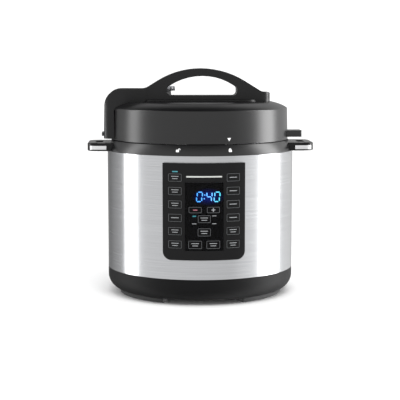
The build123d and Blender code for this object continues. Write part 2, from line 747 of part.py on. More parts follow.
def inlet_cavity():
    """Space that the plug fills, with two cut upper corners."""
    wide, high, deep = INLET_CAVITY
    cut = 5.0
    points = [
        (-wide / 2, -high / 2), (wide / 2, -high / 2), (wide / 2, high / 2 - cut),
        (wide / 2 - cut, high / 2), (-wide / 2 + cut, high / 2), (-wide / 2, high / 2 - cut),
    ]
    face = make_face(Polyline(*points, close=True))
    plane = Plane((0, inlet_face_y() - deep, inlet_z()), (-1, 0, 0), (0, 1, 0))
    return extrude(plane * face, deep + 1)


def inlet_pins():
    """Three contact blades."""
    width, thick, length = PIN_SIZE
    back = inlet_face_y() - INLET_CAVITY[2]
    pins = []
    for x, up in ((-PIN_SPACING, -2.0), (PIN_SPACING, -2.0), (0, 2.4)):
        z = inlet_z() + up
        low = (x - thick / 2, back, z - width / 2)
        pins.append(block(low, (x + thick / 2, back + length, z + width / 2)))
    return pins


def cup_top_z():
    return RING_Z - CUP_DROP


def cup_front_y():
    return BODY_R + 2.0


def condensation_cup():
    """Small open cup with a rib on each side that slides in the holder."""
    top = cup_top_z()
    front = cup_front_y()
    outline = RectangleRounded(CUP_WIDTH, CUP_DEPTH, 5)
    middle = Pos(0, front + CUP_DEPTH / 2, top - CUP_HEIGHT)
    cup = middle * extrude(outline, CUP_HEIGHT)
    inner = RectangleRounded(CUP_WIDTH - 2 * CUP_WALL, CUP_DEPTH - 2 * CUP_WALL, 5 - CUP_WALL)
    cup -= middle * Pos(0, 0, CUP_WALL) * extrude(inner, CUP_HEIGHT)
    for side in (-1, 1):
        x = side * CUP_WIDTH / 2
        rib = block((-0.5, front + 5, top - 8), (2.6, front + CUP_DEPTH - 5, top - 5.4))
        rib = rib if side > 0 else mirror(rib, Plane.YZ)
        cup += Pos(x, 0, 0) * rib
    return cup


def cup_holder():
    """Two grooved rails on a back plate, fixed to the shell."""
    top = cup_top_z()
    front = cup_front_y()
    near = CUP_WIDTH / 2 + TOUCH_GAP
    rail = block((near, BODY_R - 10, top - 11), (near + 5.2, front + CUP_DEPTH - 6, top - 2.4))
    groove_z = (top - 8 - TOUCH_GAP, top - 5.4 + TOUCH_GAP)
    groove_y = front + 5 - TOUCH_GAP
    rail -= block((near - 1, groove_y, groove_z[0]), (near + 3, front + CUP_DEPTH, groove_z[1]))
    plate = block((-near - 5.2, BODY_R - 10, top - 11), (near + 5.2, front - TOUCH_GAP, top - 2.4))
    holder = rail + mirror(rail, Plane.YZ) + plate
    return holder - tube(BODY_R, 0, top - 20, top + 5)


# ---------------------------------------------------------------- lid

def lid_outside(inset=0.0):
    """Turned outside of the lid without its fins, pulled in by an inset."""
    edge_r = LID_R - LID_DRAFT
    wall = Line((LID_R - inset, LID_Z), (edge_r - inset, LID_EDGE_Z - inset))
    shoulder = ThreePointArc(
        (edge_r - inset, LID_EDGE_Z - inset),
        (edge_r - inset - 8.6, LID_EDGE_Z - inset + 4.9),
        (CROWN_R, CROWN_Z - inset),
    )
    rest = Polyline((CROWN_R, CROWN_Z - inset), (0, CROWN_Z - inset), (0, LID_Z), (LID_R - inset, LID_Z))
    return revolve(make_face(Plane.XZ * Curve([wall, shoulder, *rest.edges()])), Axis.Z)


def lid_body():
    """Outside of the lid with the low mound under its handle."""
    foot = Pos(0, 0, CROWN_Z - 1) * SlotOverall(PLINTH_LENGTH, PLINTH_WIDTH)
    mound = extrude(foot, PLINTH_HEIGHT + 1, taper=30)
    return lid_outside() + mound


def screw_bosses():
    return [at_bearing(LID_SCREW_CIRCLE, bearing) for bearing in (0, 90, 180, 270)]


def handle_screw_places():
    left, right = HANDLE_SCREW_SETBACKS
    return [(left - LID_R, 0), (LID_R - right, 0)]


def fin_sizes(side):
    """Reach from the axis, underside and top of the fin on one side."""
    middle = LID_Z + FIN_HEIGHT + FIN_THICK / 2
    if side < 0:
        reach, half = LID_R + ARM_REACH + SMALL_FIN_PROUD, SMALL_FIN_THICK / 2
    else:
        reach, half = LID_R + FIN_REACH, FIN_THICK / 2
    return reach, middle - half, middle + half


def lid_cover():
    """Moulded lid shell with bosses, two fins and holes for the valves."""
    cover = lid_body() - (lid_outside(PLASTIC_WALL) - tube(BODY_R, 0, LID_Z - 2, LID_Z - 1))
    cover -= tube(LID_R - PLASTIC_WALL, 0, LID_Z - 1, LID_Z + 1)
    for x, y in screw_bosses():
        cover += Pos(x, y) * tube(5, 0, LID_PLATE_TOP_Z, CROWN_Z - 1)
        cover -= Pos(x, y) * tube(SCREW_R, 0, LID_PLATE_TOP_Z - 1, LID_PLATE_TOP_Z + 10)
    wall = PLASTIC_WALL - 0.5
    for side in (-1, 1):
        reach, low, high = fin_sizes(side)
        fin = block((LID_R - wall, -FIN_HALF, low), (reach, FIN_HALF, high))
        fin = fillet(fin.edges().filter_by(Axis.Z).sort_by(Axis.X)[-2:], 2.5)
        cover += fin if side > 0 else mirror(fin, Plane.YZ)
    cover -= Pos(STEAM_X, STEAM_Y) * tube(PIPE_R + 1, 0, CROWN_Z - 10, CROWN_Z + 10)
    cover -= Pos(FLOAT_X, FLOAT_Y) * tube(FLOAT_R + 1, 0, CROWN_Z - 10, CROWN_Z + 10)
    for x, y in handle_screw_places():
        cover -= Pos(x, y) * tube(SCREW_R + SCREW_GAP, 0, CROWN_Z - 10, CROWN_Z + 10)
    return cover


def handle_side_view():
    """Side outline of the arch, the left arm and the right stub, as (x, z)."""
    top = CROWN_Z + GRIP_RISE
    slope = tan(radians(GRIP_SLOPE))
    peak = top + GRIP_RADIUS * (1 / cos(radians(GRIP_SLOPE)) - 1)
    arm_z = CROWN_Z + ARM_TOP
    stub_z = CROWN_Z + STUB_TOP
    arm_x = -(LID_R + ARM_REACH)
    foot_z = LID_Z + ARM_GAP
    under = CROWN_Z - 3
    points = [
        (arm_x, foot_z), (arm_x + 1.6, arm_z), (GRIP_CENTRE_X - (peak - arm_z) / slope, arm_z),
        (GRIP_CENTRE_X, peak), (GRIP_CENTRE_X + (peak - stub_z) / slope, stub_z),
        (STUB_END_X, stub_z), (STUB_END_X, under), (-CROWN_R, under), (-CROWN_R, foot_z),
    ]
    return make_face(FilletPolyline(*points, radius=(1, 25, 18, GRIP_RADIUS, 20, 1.5, 0, 0, 0), close=True))


def grip_opening():
    """Finger opening under the arch, as (x, z)."""
    slope = tan(radians(HOLE_SLOPE))
    top = CROWN_Z + HOLE_TOP
    peak = top + HOLE_RADIUS * (1 / cos(radians(HOLE_SLOPE)) - 1)
    floor_z = CROWN_Z + HOLE_FLOOR
    shoulder_z = peak - HOLE_HALF * slope
    low, high = HOLE_CENTRE_X - HOLE_HALF, HOLE_CENTRE_X + HOLE_HALF
    points = [(low, floor_z), (low, shoulder_z), (HOLE_CENTRE_X, peak), (high, shoulder_z), (high, floor_z)]
    return make_face(FilletPolyline(*points, radius=(5.5, 5, HOLE_RADIUS, 5, 5.5), close=True))


def handle_plan():
    """Plan of the lid handle: wide arm, slimmer grip, rounded right end."""
    arm_x = -(LID_R + ARM_REACH) - 0.1
    near = [
        (arm_x, -ARM_HALF),
        (ARM_WIDE_SETBACK - LID_R, -ARM_HALF),
        (ARM_NARROW_SETBACK - LID_R, -GRIP_HALF),
        (LID_R - STUB_NARROW_SETBACK, -GRIP_HALF),
        (LID_R - STUB_WIDE_SETBACK, -STUB_HALF),
        (STUB_END_X, -STUB_HALF),
    ]
    points = near + [(x, -y) for x, y in reversed(near)]
    radii = (12, 50, 50, 60, 60, 14, 14, 60, 60, 50, 50, 12)
    return make_face(FilletPolyline(*points, radius=radii, close=True))


def lid_handle():
    """Arched handle with the arm that runs down the left side of the lid."""
    width = 2 * ARM_HALF + 20
    side = extrude(Plane((0, width / 2, 0), (1, 0, 0), (0, -1, 0)) * handle_side_view(), width)
    side -= extrude(Plane((0, width / 2, 0), (1, 0, 0), (0, -1, 0)) * grip_opening(), width)
    plan = extrude(Pos(0, 0, LID_Z) * handle_plan(), CROWN_Z + GRIP_RISE + 10 - LID_Z)
    handle = side & plan
    handle -= lid_body()
    reach, low, high = fin_sizes(-1)
    gap = SEAT_GAP
    slot_end = (5 - LID_R, FIN_HALF + gap, high + gap)
    handle -= block((-BODY_R - 40, -FIN_HALF - gap, low - gap), slot_end)
    for x, y in handle_screw_places():
        handle -= Pos(x, y) * tube(SCREW_R, 0, CROWN_Z - 5, CROWN_Z + 9)
    return handle


def handle_screws():
    """Two screws from inside the lid up into its handle."""
    head_z = CROWN_Z - PLASTIC_WALL - SCREW_HEAD
    screws = []
    for x, y in handle_screw_places():
        screw = tube(SCREW_HEAD_R, 0, head_z, head_z + SCREW_HEAD)
        screw += tube(SCREW_R - 0.05, 0, head_z + 1, CROWN_Z + 8.5)
        screws.append(Pos(x, y) * screw)
    return screws


def lid_plate():
    """Pressed steel inner lid with six lugs, the slider's guides and its spring stop."""
    plate = tube(SKIRT_R, 0, LID_PLATE_Z, LID_PLATE_TOP_Z)
    plate += tube(SKIRT_R, SKIRT_R - LID_PLATE_WALL, LUG_Z, LID_PLATE_TOP_Z)
    lug = [(SKIRT_R - 0.8, LUG_Z), (LUG_R, LUG_Z), (LUG_R, LUG_TOP_Z), (SKIRT_R - 0.8, LUG_TOP_Z)]
    middle = UNLOCK_ANGLE - 180 / TOOTH_COUNT
    for k in range(TOOTH_COUNT):
        plate += turned(lug, middle + k * 360 / TOOTH_COUNT - TOOTH_ANGLE / 2, TOOTH_ANGLE)
    plate -= Pos(STEAM_X, STEAM_Y) * tube(PIPE_R + SCREW_GAP, 0, LID_PLATE_Z - 1, LID_PLATE_TOP_Z + 1)
    plate -= Pos(FLOAT_X, FLOAT_Y) * tube(FLOAT_R + 0.6, 0, LID_PLATE_Z - 1, LID_PLATE_TOP_Z + 1)
    for x, y in screw_bosses():
        plate -= Pos(x, y) * tube(SCREW_R + SCREW_GAP, 0, LID_PLATE_Z - 1, LID_PLATE_TOP_Z + 1)
    half = SLIDER_WIDTH / 2 + TOUCH_GAP
    top = slider_z() + 4
    base = LID_PLATE_TOP_Z - 0.2
    for side in (-1, 1):
        near = FLOAT_X + side * half
        far = FLOAT_X + side * (half + 2)
        plate += block((min(near, far), FLOAT_Y + 12, base), (max(near, far), FLOAT_Y + 36, top))
    stop_y = slider_start_y() - SLIDER_TRAVEL - SPRING_ROOM
    plate += block((FLOAT_X - 5, stop_y, base), (FLOAT_X + 5, stop_y + STOP_THICK, top + 1))
    return plate


def lid_screws():
    """Four screws that hold the steel plate in the lid, and two that hold the handle."""
    screws = handle_screws()
    for x, y in screw_bosses():
        screw = tube(SCREW_HEAD_R, 0, LID_PLATE_Z - SCREW_HEAD, LID_PLATE_Z)
        screw += tube(SCREW_R - 0.05, 0, LID_PLATE_Z - 1, LID_PLATE_TOP_Z + 9.5)
        screws.append(Pos(x, y) * screw)
    return screws


def sealing_ring():
    """Silicone seal between the pot's rim and the lid plate, grooved for its wire rack."""
    top = SEAL_Z + SEAL_HEIGHT
    middle = (SEAL_Z + top) / 2
    points = [
        (SEAL_INNER_R, SEAL_Z), (SEAL_R, SEAL_Z), (SEAL_R, top), (SEAL_INNER_R, top),
        (SEAL_INNER_R, middle + 2.4), (SEAL_INNER_R + 4, middle + 2.4),
        (SEAL_INNER_R + 4, middle - 2.4), (SEAL_INNER_R, middle - 2.4),
    ]
    return turned(points)


def gasket_rack():
    """Round wire that keeps the seal in place, on four short rods."""
    z = SEAL_Z + SEAL_HEIGHT / 2
    wire_r = SEAL_INNER_R + 0.6
    rack = Pos(0, 0, z) * Torus(wire_r, RACK_WIRE_R)
    rod_r = SEAL_INNER_R - TOUCH_GAP - RACK_ROD_R
    for bearing in (45, 135, 225, 315):
        x, y = at_bearing(rod_r, bearing)
        rack += Pos(x, y) * tube(RACK_ROD_R, 0, z - RACK_ROD_R, LID_PLATE_Z)
    return rack


def steam_pipe():
    """Threaded pipe through the lid that the steam valve sits on."""
    top = CROWN_Z + 9.5
    pipe = tube(PIPE_R, 0, LID_PLATE_Z - 3, top) + tube(PIPE_R + 4, 0, LID_PLATE_Z - 3, LID_PLATE_Z)
    return Pos(STEAM_X, STEAM_Y) * (pipe - tube(PIPE_BORE_R, 0, LID_PLATE_Z - 4, top + 1))


def pipe_nut():
    z = LID_PLATE_TOP_Z
    nut = Pos(0, 0, z) * extrude(RegularPolygon(PIPE_R + 4.5, 6), 5)
    return Pos(STEAM_X, STEAM_Y) * (nut - tube(PIPE_R, 0, z - 1, z + 6))


def valve_shield():
    """Small sieve under the plate that keeps food out of the steam pipe."""
    low = LID_PLATE_Z - SHIELD_DEPTH
    shield = tube(SHIELD_R, SHIELD_R - 1, low, LID_PLATE_Z) + tube(SHIELD_R, 0, low, low + 1)
    for k in range(8):
        x, y = at_bearing(SHIELD_R * 0.55, k * 45)
        shield -= Pos(x, y) * tube(1.5, 0, low - 1, low + 2)
    return Pos(STEAM_X, STEAM_Y) * shield


def steam_valve():
    """Turning release valve: ribbed cap, pointer and a body that covers the pipe."""
    low = CROWN_Z + 2
    cap_z = CROWN_Z + VALVE_RISE - 7
    top = CROWN_Z + VALVE_RISE
    cap = tube(VALVE_CAP_R, 0, cap_z, top)
    cap = chamfer(cap.edges().filter_by(GeomType.CIRCLE).sort_by(Axis.Z)[-1], 1.2)
    for k in range(12):
        x, y = at_bearing(VALVE_CAP_R + 0.8, k * 30)
        cap -= Pos(x, y) * tube(1.9, 0, cap_z - 1, top + 1)
    valve = cap + tube(VALVE_BODY_R, 0, low, cap_z + 1)
    valve += block((-2, -VALVE_CAP_R - 3.5, cap_z + 1), (2, -VALVE_CAP_R + 6, top - 1.5))
    valve -= tube(PIPE_R + TOUCH_GAP, 0, low - 1, CROWN_Z + 9.5 + TOUCH_GAP)
    return Pos(STEAM_X, STEAM_Y) * valve


def float_low_z():
    """Underside of the float valve's head when there is no pressure."""
    return LID_PLATE_Z - TOUCH_GAP - FLOAT_TRAVEL - 2 - 2.5


def float_valve():
    """Pin that pressure lifts through the lid, with a head below and a collar above the plate."""
    low = float_low_z()
    collar_z = LID_PLATE_TOP_Z + TOUCH_GAP
    pin = tube(FLOAT_R, 0, low, CROWN_Z + 0.6)
    pin += tube(FLOAT_R + 3.5, 0, low, low + 2.5)
    pin += tube(FLOAT_R + 2, 0, collar_z, collar_z + 1.6)
    return Pos(FLOAT_X, FLOAT_Y) * pin


def float_gasket():
    low = float_low_z() + 2.5
    return Pos(FLOAT_X, FLOAT_Y) * tube(FLOAT_R + 2.5, FLOAT_R, low, low + 2)


def slider_z():
    """Underside of the lock slider, clear of the raised float valve's collar."""
    return LID_PLATE_TOP_Z + FLOAT_TRAVEL + 1.6 + 2 * TOUCH_GAP + 0.4


def slider_start_y():
    return FLOAT_Y - SLIDER_BACK


def lock_slider():
    """Sprung bar that runs out towards the rim, slotted round the float valve."""
    z = slider_z()
    start = slider_start_y()
    half = SLIDER_WIDTH / 2
    bar = block((FLOAT_X - half, start, z), (FLOAT_X + half, start + SLIDER_LENGTH, z + SLIDER_THICK))
    slot_length = 2 * (FLOAT_R + 0.8) + SLIDER_TRAVEL
    slot = Pos(FLOAT_X, FLOAT_Y + SLIDER_TRAVEL / 2, z - 1) * Rot(0, 0, 90)
    bar -= slot * extrude(SlotOverall(slot_length + 1, 2 * (FLOAT_R + 0.6)), 5)
    return bar


def lock_spring():
    start = slider_start_y() - SLIDER_TRAVEL - SPRING_ROOM + STOP_THICK
    wire = 0.5
    length = slider_start_y() - start - 2 * wire - 0.4
    coil = spring(wire, 2.4, length, 7)
    return Pos(FLOAT_X, start + wire + 0.2, slider_z() + 1.5) * Rot(-90, 0, 0) * coil


# ---------------------------------------------------------------- all nodes

def all_nodes():
    """Every piece by its node name."""
    nodes = {
        "base_tray": base_tray(),
        "rubber_feet": rubber_feet(),
        "outer_shell": outer_shell(),
        "top_ring": top_ring(),
        "side_handle_left": side_handle(-1),
        "side_handle_right": side_handle(1),
        "handle_trim_left": trim_band(-1) - ring_outside(),
        "handle_trim_right": trim_band(1) - ring_outside(),
        "lock_icons": lock_icons(),
        "heat_liner": heat_liner(),
        "bayonet_ring": bayonet_ring(),
        "heater_bracket": heater_bracket(),
        "heating_plate": heating_plate(),
        "sensor_button": sensor_button(),
        "sensor_spring": sensor_spring(),
        "power_board": power_board(),
        "base_screws": base_screws(),
        "panel_bezel": panel_bezel(),
        "panel_window": panel_window(),
        "keypad_mat": keypad_mat(),
        "control_board": control_board(),
        "display_lights": display_digits() + indicator_lights(),
        "power_inlet": power_inlet(),
        "inlet_pins": inlet_pins(),
        "cup_holder": cup_holder(),
        "condensation_cup": condensation_cup(),
        "inner_pot": inner_pot(),
        "sealing_ring": sealing_ring(),
        "lid_cover": lid_cover(),
        "lid_handle": lid_handle(),
        "lid_plate": lid_plate(),
        "lid_screws": lid_screws(),
        "lid_mark": lid_mark(),
        "gasket_rack": gasket_rack(),
        "steam_pipe": steam_pipe(),
        "pipe_nut": pipe_nut(),
        "valve_shield": valve_shield(),
        "steam_valve": steam_valve(),
        "float_valve": float_valve(),
        "float_gasket": float_gasket(),
        "lock_slider": lock_slider(),
        "lock_spring": lock_spring(),
    }
    for name, bearing, z, width, height in key_places():
        nodes[name] = key_cap(bearing, z, width, height)
    return nodes


def main():
    os.makedirs("parts", exist_ok=True)
    for name, shape in all_nodes().items():
        if isinstance(shape, list):
            shape = Compound(children=[solid for piece in shape for solid in piece.solids()])
        export_step(shape, f"parts/{name}.step")


main()
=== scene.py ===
import bpy
import bmesh
import json
from math import cos, pi, radians, sin, tan
from mathutils import Matrix, Vector

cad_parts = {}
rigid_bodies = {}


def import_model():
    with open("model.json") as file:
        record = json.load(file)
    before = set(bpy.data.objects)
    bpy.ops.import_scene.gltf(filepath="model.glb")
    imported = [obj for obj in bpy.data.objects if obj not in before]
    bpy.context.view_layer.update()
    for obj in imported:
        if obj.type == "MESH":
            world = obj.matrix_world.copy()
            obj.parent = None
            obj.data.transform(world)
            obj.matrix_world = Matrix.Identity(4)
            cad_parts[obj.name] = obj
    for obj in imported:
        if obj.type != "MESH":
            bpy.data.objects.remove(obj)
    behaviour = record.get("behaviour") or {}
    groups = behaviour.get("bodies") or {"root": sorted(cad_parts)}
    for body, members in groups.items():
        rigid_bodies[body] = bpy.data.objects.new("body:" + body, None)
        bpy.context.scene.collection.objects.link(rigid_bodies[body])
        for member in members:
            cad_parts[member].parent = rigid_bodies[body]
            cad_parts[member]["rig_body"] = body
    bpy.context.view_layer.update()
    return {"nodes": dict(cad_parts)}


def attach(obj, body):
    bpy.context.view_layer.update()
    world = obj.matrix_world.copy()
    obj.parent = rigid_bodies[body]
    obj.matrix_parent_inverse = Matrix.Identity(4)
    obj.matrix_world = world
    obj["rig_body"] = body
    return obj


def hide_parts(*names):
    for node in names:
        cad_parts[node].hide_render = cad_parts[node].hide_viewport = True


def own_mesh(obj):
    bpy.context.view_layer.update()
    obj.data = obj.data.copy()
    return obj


# Electric pressure cooker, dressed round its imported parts.
# Metres in the scene, millimetres in the settings. +Z is up and the panel looks towards -Y.

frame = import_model()
nodes = frame["nodes"]
mm = 0.001


# ---- small helpers for materials

def linear(hexColour):
    # sRGB hex to the linear colour that the shaders use
    parts = [int(hexColour[i:i + 2], 16) / 255 for i in (0, 2, 4)]
    return [p / 12.92 if p <= 0.04045 else ((p + 0.055) / 1.055) ** 2.4 for p in parts] + [1.0]


def addNode(tree, kind, inputs=None, **settings):
    # adds a node, sets its options, and sets or links its inputs
    node = tree.nodes.new(kind)
    for name, value in settings.items():
        setattr(node, name, value)
    for socket, value in (inputs or {}).items():
        if isinstance(value, bpy.types.NodeSocket):
            tree.links.new(value, node.inputs[socket])
        else:
            node.inputs[socket].default_value = value
    return node


def startMaterial(name, **sockets):
    # a material with its main shader set, and the object's own coordinates ready to use
    material = bpy.data.materials.new(name)
    material.use_nodes = True
    tree = material.node_tree
    shader = tree.nodes["Principled BSDF"]
    for socket, value in sockets.items():
        shader.inputs[socket.replace("_", " ")].default_value = value
    place = addNode(tree, "ShaderNodeTexCoord").outputs["Object"]
    return material, tree, shader, place


def setRamp(node, stops):
    # stops are (place, colour); the ramp starts with two
    ramp = node.color_ramp
    while len(ramp.elements) < len(stops):
        ramp.elements.new(0.5)
    for element, (place, colour) in zip(ramp.elements, stops):
        element.position = place
        element.color = colour


cloudMm = 45.0    # width of the faint clouds in every moulded colour


def mouldedPlastic(name, colour, lighter, roughness, grainMm, grainDepth, specular=0.5):
    # a moulded plastic: faint cloudy colour, uneven gloss, and the grain of an etched tool
    material, tree, shader, place = startMaterial(name, IOR=1.5, Specular_IOR_Level=specular)
    cloud = addNode(tree, "ShaderNodeTexNoise", {
        "Vector": place, "Scale": 1 / (cloudMm * mm), "Detail": 3.0})
    colourRamp = addNode(tree, "ShaderNodeValToRGB", {"Fac": cloud.outputs["Fac"]})
    setRamp(colourRamp, [(0.3, linear(colour)), (0.75, linear(lighter))])
    tree.links.new(colourRamp.outputs["Color"], shader.inputs["Base Color"])
    gloss = addNode(tree, "ShaderNodeMapRange", {
        "Value": cloud.outputs["Fac"], "To Min": roughness - 0.03, "To Max": roughness + 0.04})
    tree.links.new(gloss.outputs["Result"], shader.inputs["Roughness"])
    grain = addNode(tree, "ShaderNodeTexNoise", {
        "Vector": place, "Scale": 1 / (grainMm * mm), "Detail": 2.0})
    bump = addNode(tree, "ShaderNodeBump", {
        "Height": grain.outputs["Fac"], "Strength": 0.35, "Distance": grainDepth * mm})
    tree.links.new(bump.outputs["Normal"], shader.inputs["Normal"])
    return material


def workedMetal(name, colour, darker, roughness, lineMm, lengthMm, bumpMm):
    # bare metal with the fine level lines that a belt or a lathe leaves
    material, tree, shader, place = startMaterial(name, Metallic=1.0)
    fine, long = 1 / (lineMm * mm), 1 / (lengthMm * mm)
    lines = addNode(tree, "ShaderNodeMapping", {"Vector": place, "Scale": (long, long, fine)})
    streak = addNode(tree, "ShaderNodeTexNoise", {
        "Vector": lines.outputs["Vector"], "Scale": 1.0, "Detail": 4.0, "Roughness": 0.6})
    colourRamp = addNode(tree, "ShaderNodeValToRGB", {"Fac": streak.outputs["Fac"]})
    setRamp(colourRamp, [(0.3, linear(darker)), (0.7, linear(colour))])
    tree.links.new(colourRamp.outputs["Color"], shader.inputs["Base Color"])
    gloss = addNode(tree, "ShaderNodeMapRange", {
        "Value": streak.outputs["Fac"], "To Min": roughness - 0.05, "To Max": roughness + 0.07})
    tree.links.new(gloss.outputs["Result"], shader.inputs["Roughness"])
    bump = addNode(tree, "ShaderNodeBump", {
        "Height": streak.outputs["Fac"], "Strength": 0.3, "Distance": bumpMm * mm})
    tree.links.new(bump.outputs["Normal"], shader.inputs["Normal"])
    return material, tree, shader


# ---- materials

# Moulded and printed finishes: real name, colour, lighter colour, roughness, grain in mm, depth of
# the grain in mm, and how strongly the surface reflects.
moulded = {
    # ABS moulded in a spark-eroded tool: charcoal, with a soft satin sheen and a very fine grain
    "charcoal_plastic": ("spark_textured_charcoal_abs", "09090a", "0b0b0c", 0.29, 0.5, 0.01, 0.55),
    # the same ABS in black, from a smoother tool: deeper, with tighter highlights
    "black_plastic": ("satin_black_abs", "0a0a0b", "0c0c0d", 0.3, 0.6, 0.01, 0.33),
    # polypropylene of the base: black with a little less shine
    "base_plastic": ("moulded_black_polypropylene", "0b0b0c", "0d0d0e", 0.55, 0.8, 0.02, 0.15),
    # ABS from a mirror-polished tool: black with clear reflections, hardly any grain
    "polished_plastic": ("polished_black_abs", "060607", "09090a", 0.2, 2.5, 0.004, 0.22),
    # EPDM rubber, compression moulded: dull, nearly black, slightly dusty
    "rubber": ("moulded_epdm_rubber", "151516", "212122", 0.72, 0.9, 0.05, 0.5),
    # hard-coated film over ABS: even and nearly black, with a soft shine
    "panel_plastic": ("hardcoated_panel_film", "0a0a0b", "0c0c0d", 0.28, 0.45, 0.006, 0.2),
    "key_film": ("embossed_key_film", "080909", "0a0b0b", 0.25, 0.45, 0.006, 0.2),
    # the same film polished, as on the keys inside the window: clear reflections
    "gloss_key": ("polished_key_film", "030304", "050506", 0.1, 2.5, 0.003, 0.1),
    # screen-printed ink: flat and even, with slightly uneven cover
    "grey_ink": ("screen_printed_grey_ink", "4c4e50", "56585a", 0.5, 0.3, 0.01, 0.5),
    "label_ink": ("screen_printed_light_ink", "86888a", "929496", 0.5, 0.3, 0.01, 0.5),
    "red_ink": ("screen_printed_red_ink", "a0606a", "aa6c76", 0.5, 0.3, 0.01, 0.5),
    "bar_ink": ("screen_printed_silver_ink", "b2b4b0", "bec0bc", 0.45, 0.3, 0.01, 0.5),
    "white_print": ("pad_printed_white_ink", "f0f0f0", "ffffff", 0.45, 0.3, 0.01, 0.5),
    # nylon of the valve's ribbed cap: plain grey; acetal of its skirt: milky white
    "cap_grey": ("moulded_grey_nylon", "85868a", "929397", 0.35, 0.7, 0.015, 0.5),
    "valve_grey": ("turned_white_acetal", "d4d5d6", "dededf", 0.35, 0.8, 0.01, 0.5),
    # glass-epoxy board under green solder mask: glossy green with the weave showing faintly
    "board_green": ("solder_masked_board", "1f5a3c", "2a6b48", 0.3, 1.2, 0.02, 0.5),
    # silicone, cured and slightly cloudy: light goes in and softens the edges
    "silicone": ("cured_milky_silicone", "d2d4d2", "dededc", 0.38, 0.7, 0.02, 0.5),
    # polypropylene cup, injection moulded and frosted: see-through and slightly smoky
    "cup_plastic": ("frosted_clear_polypropylene", "b8bcbe", "c8ccce", 0.3, 1.0, 0.02, 0.5),
}

# Bare metals: real name, colour, darker colour, roughness, spacing and length of the lines in mm,
# and their depth in mm.
worked = {
    # stainless steel, belt-brushed round the drum: tall streaks of light that keep sharp sides, and
    # level hairlines. Real hairlines are 0.1 mm apart; drawn 0.9 mm to show
    "brushed_steel": ("brushed_stainless_sheet", "c6c7c9", "babbbd", 0.24, 0.9, 90, 0.002),
    # stainless steel as pressed and polished: soft broad reflections with faint draw lines
    "inner_steel": ("pressed_stainless", "cfcfd0", "b0b0b1", 0.24, 1.4, 40, 0.004),
    # aluminium, brushed along and then anodised clear: bright, with fine lines along the piece
    "bright_trim": ("brushed_anodised_aluminium", "f0f0f1", "d8d8da", 0.3, 0.5, 30, 0.004),
    # brass blades, stamped, and zinc-plated screws: a fine grain along them
    "brass": ("stamped_brass", "d8b46a", "bf9a52", 0.28, 0.4, 8, 0.004),
    "zinc_screw": ("zinc_plated_steel", "c6c8cc", "a8aab0", 0.3, 0.6, 6, 0.004),
}

# span of the figures across X, and the middle and half size of the light that they throw, in mm
litSpan = (-12.0, 24.0)
glowMiddle = (6.0, 155.5)
glowReach = (23.0, 12.5)


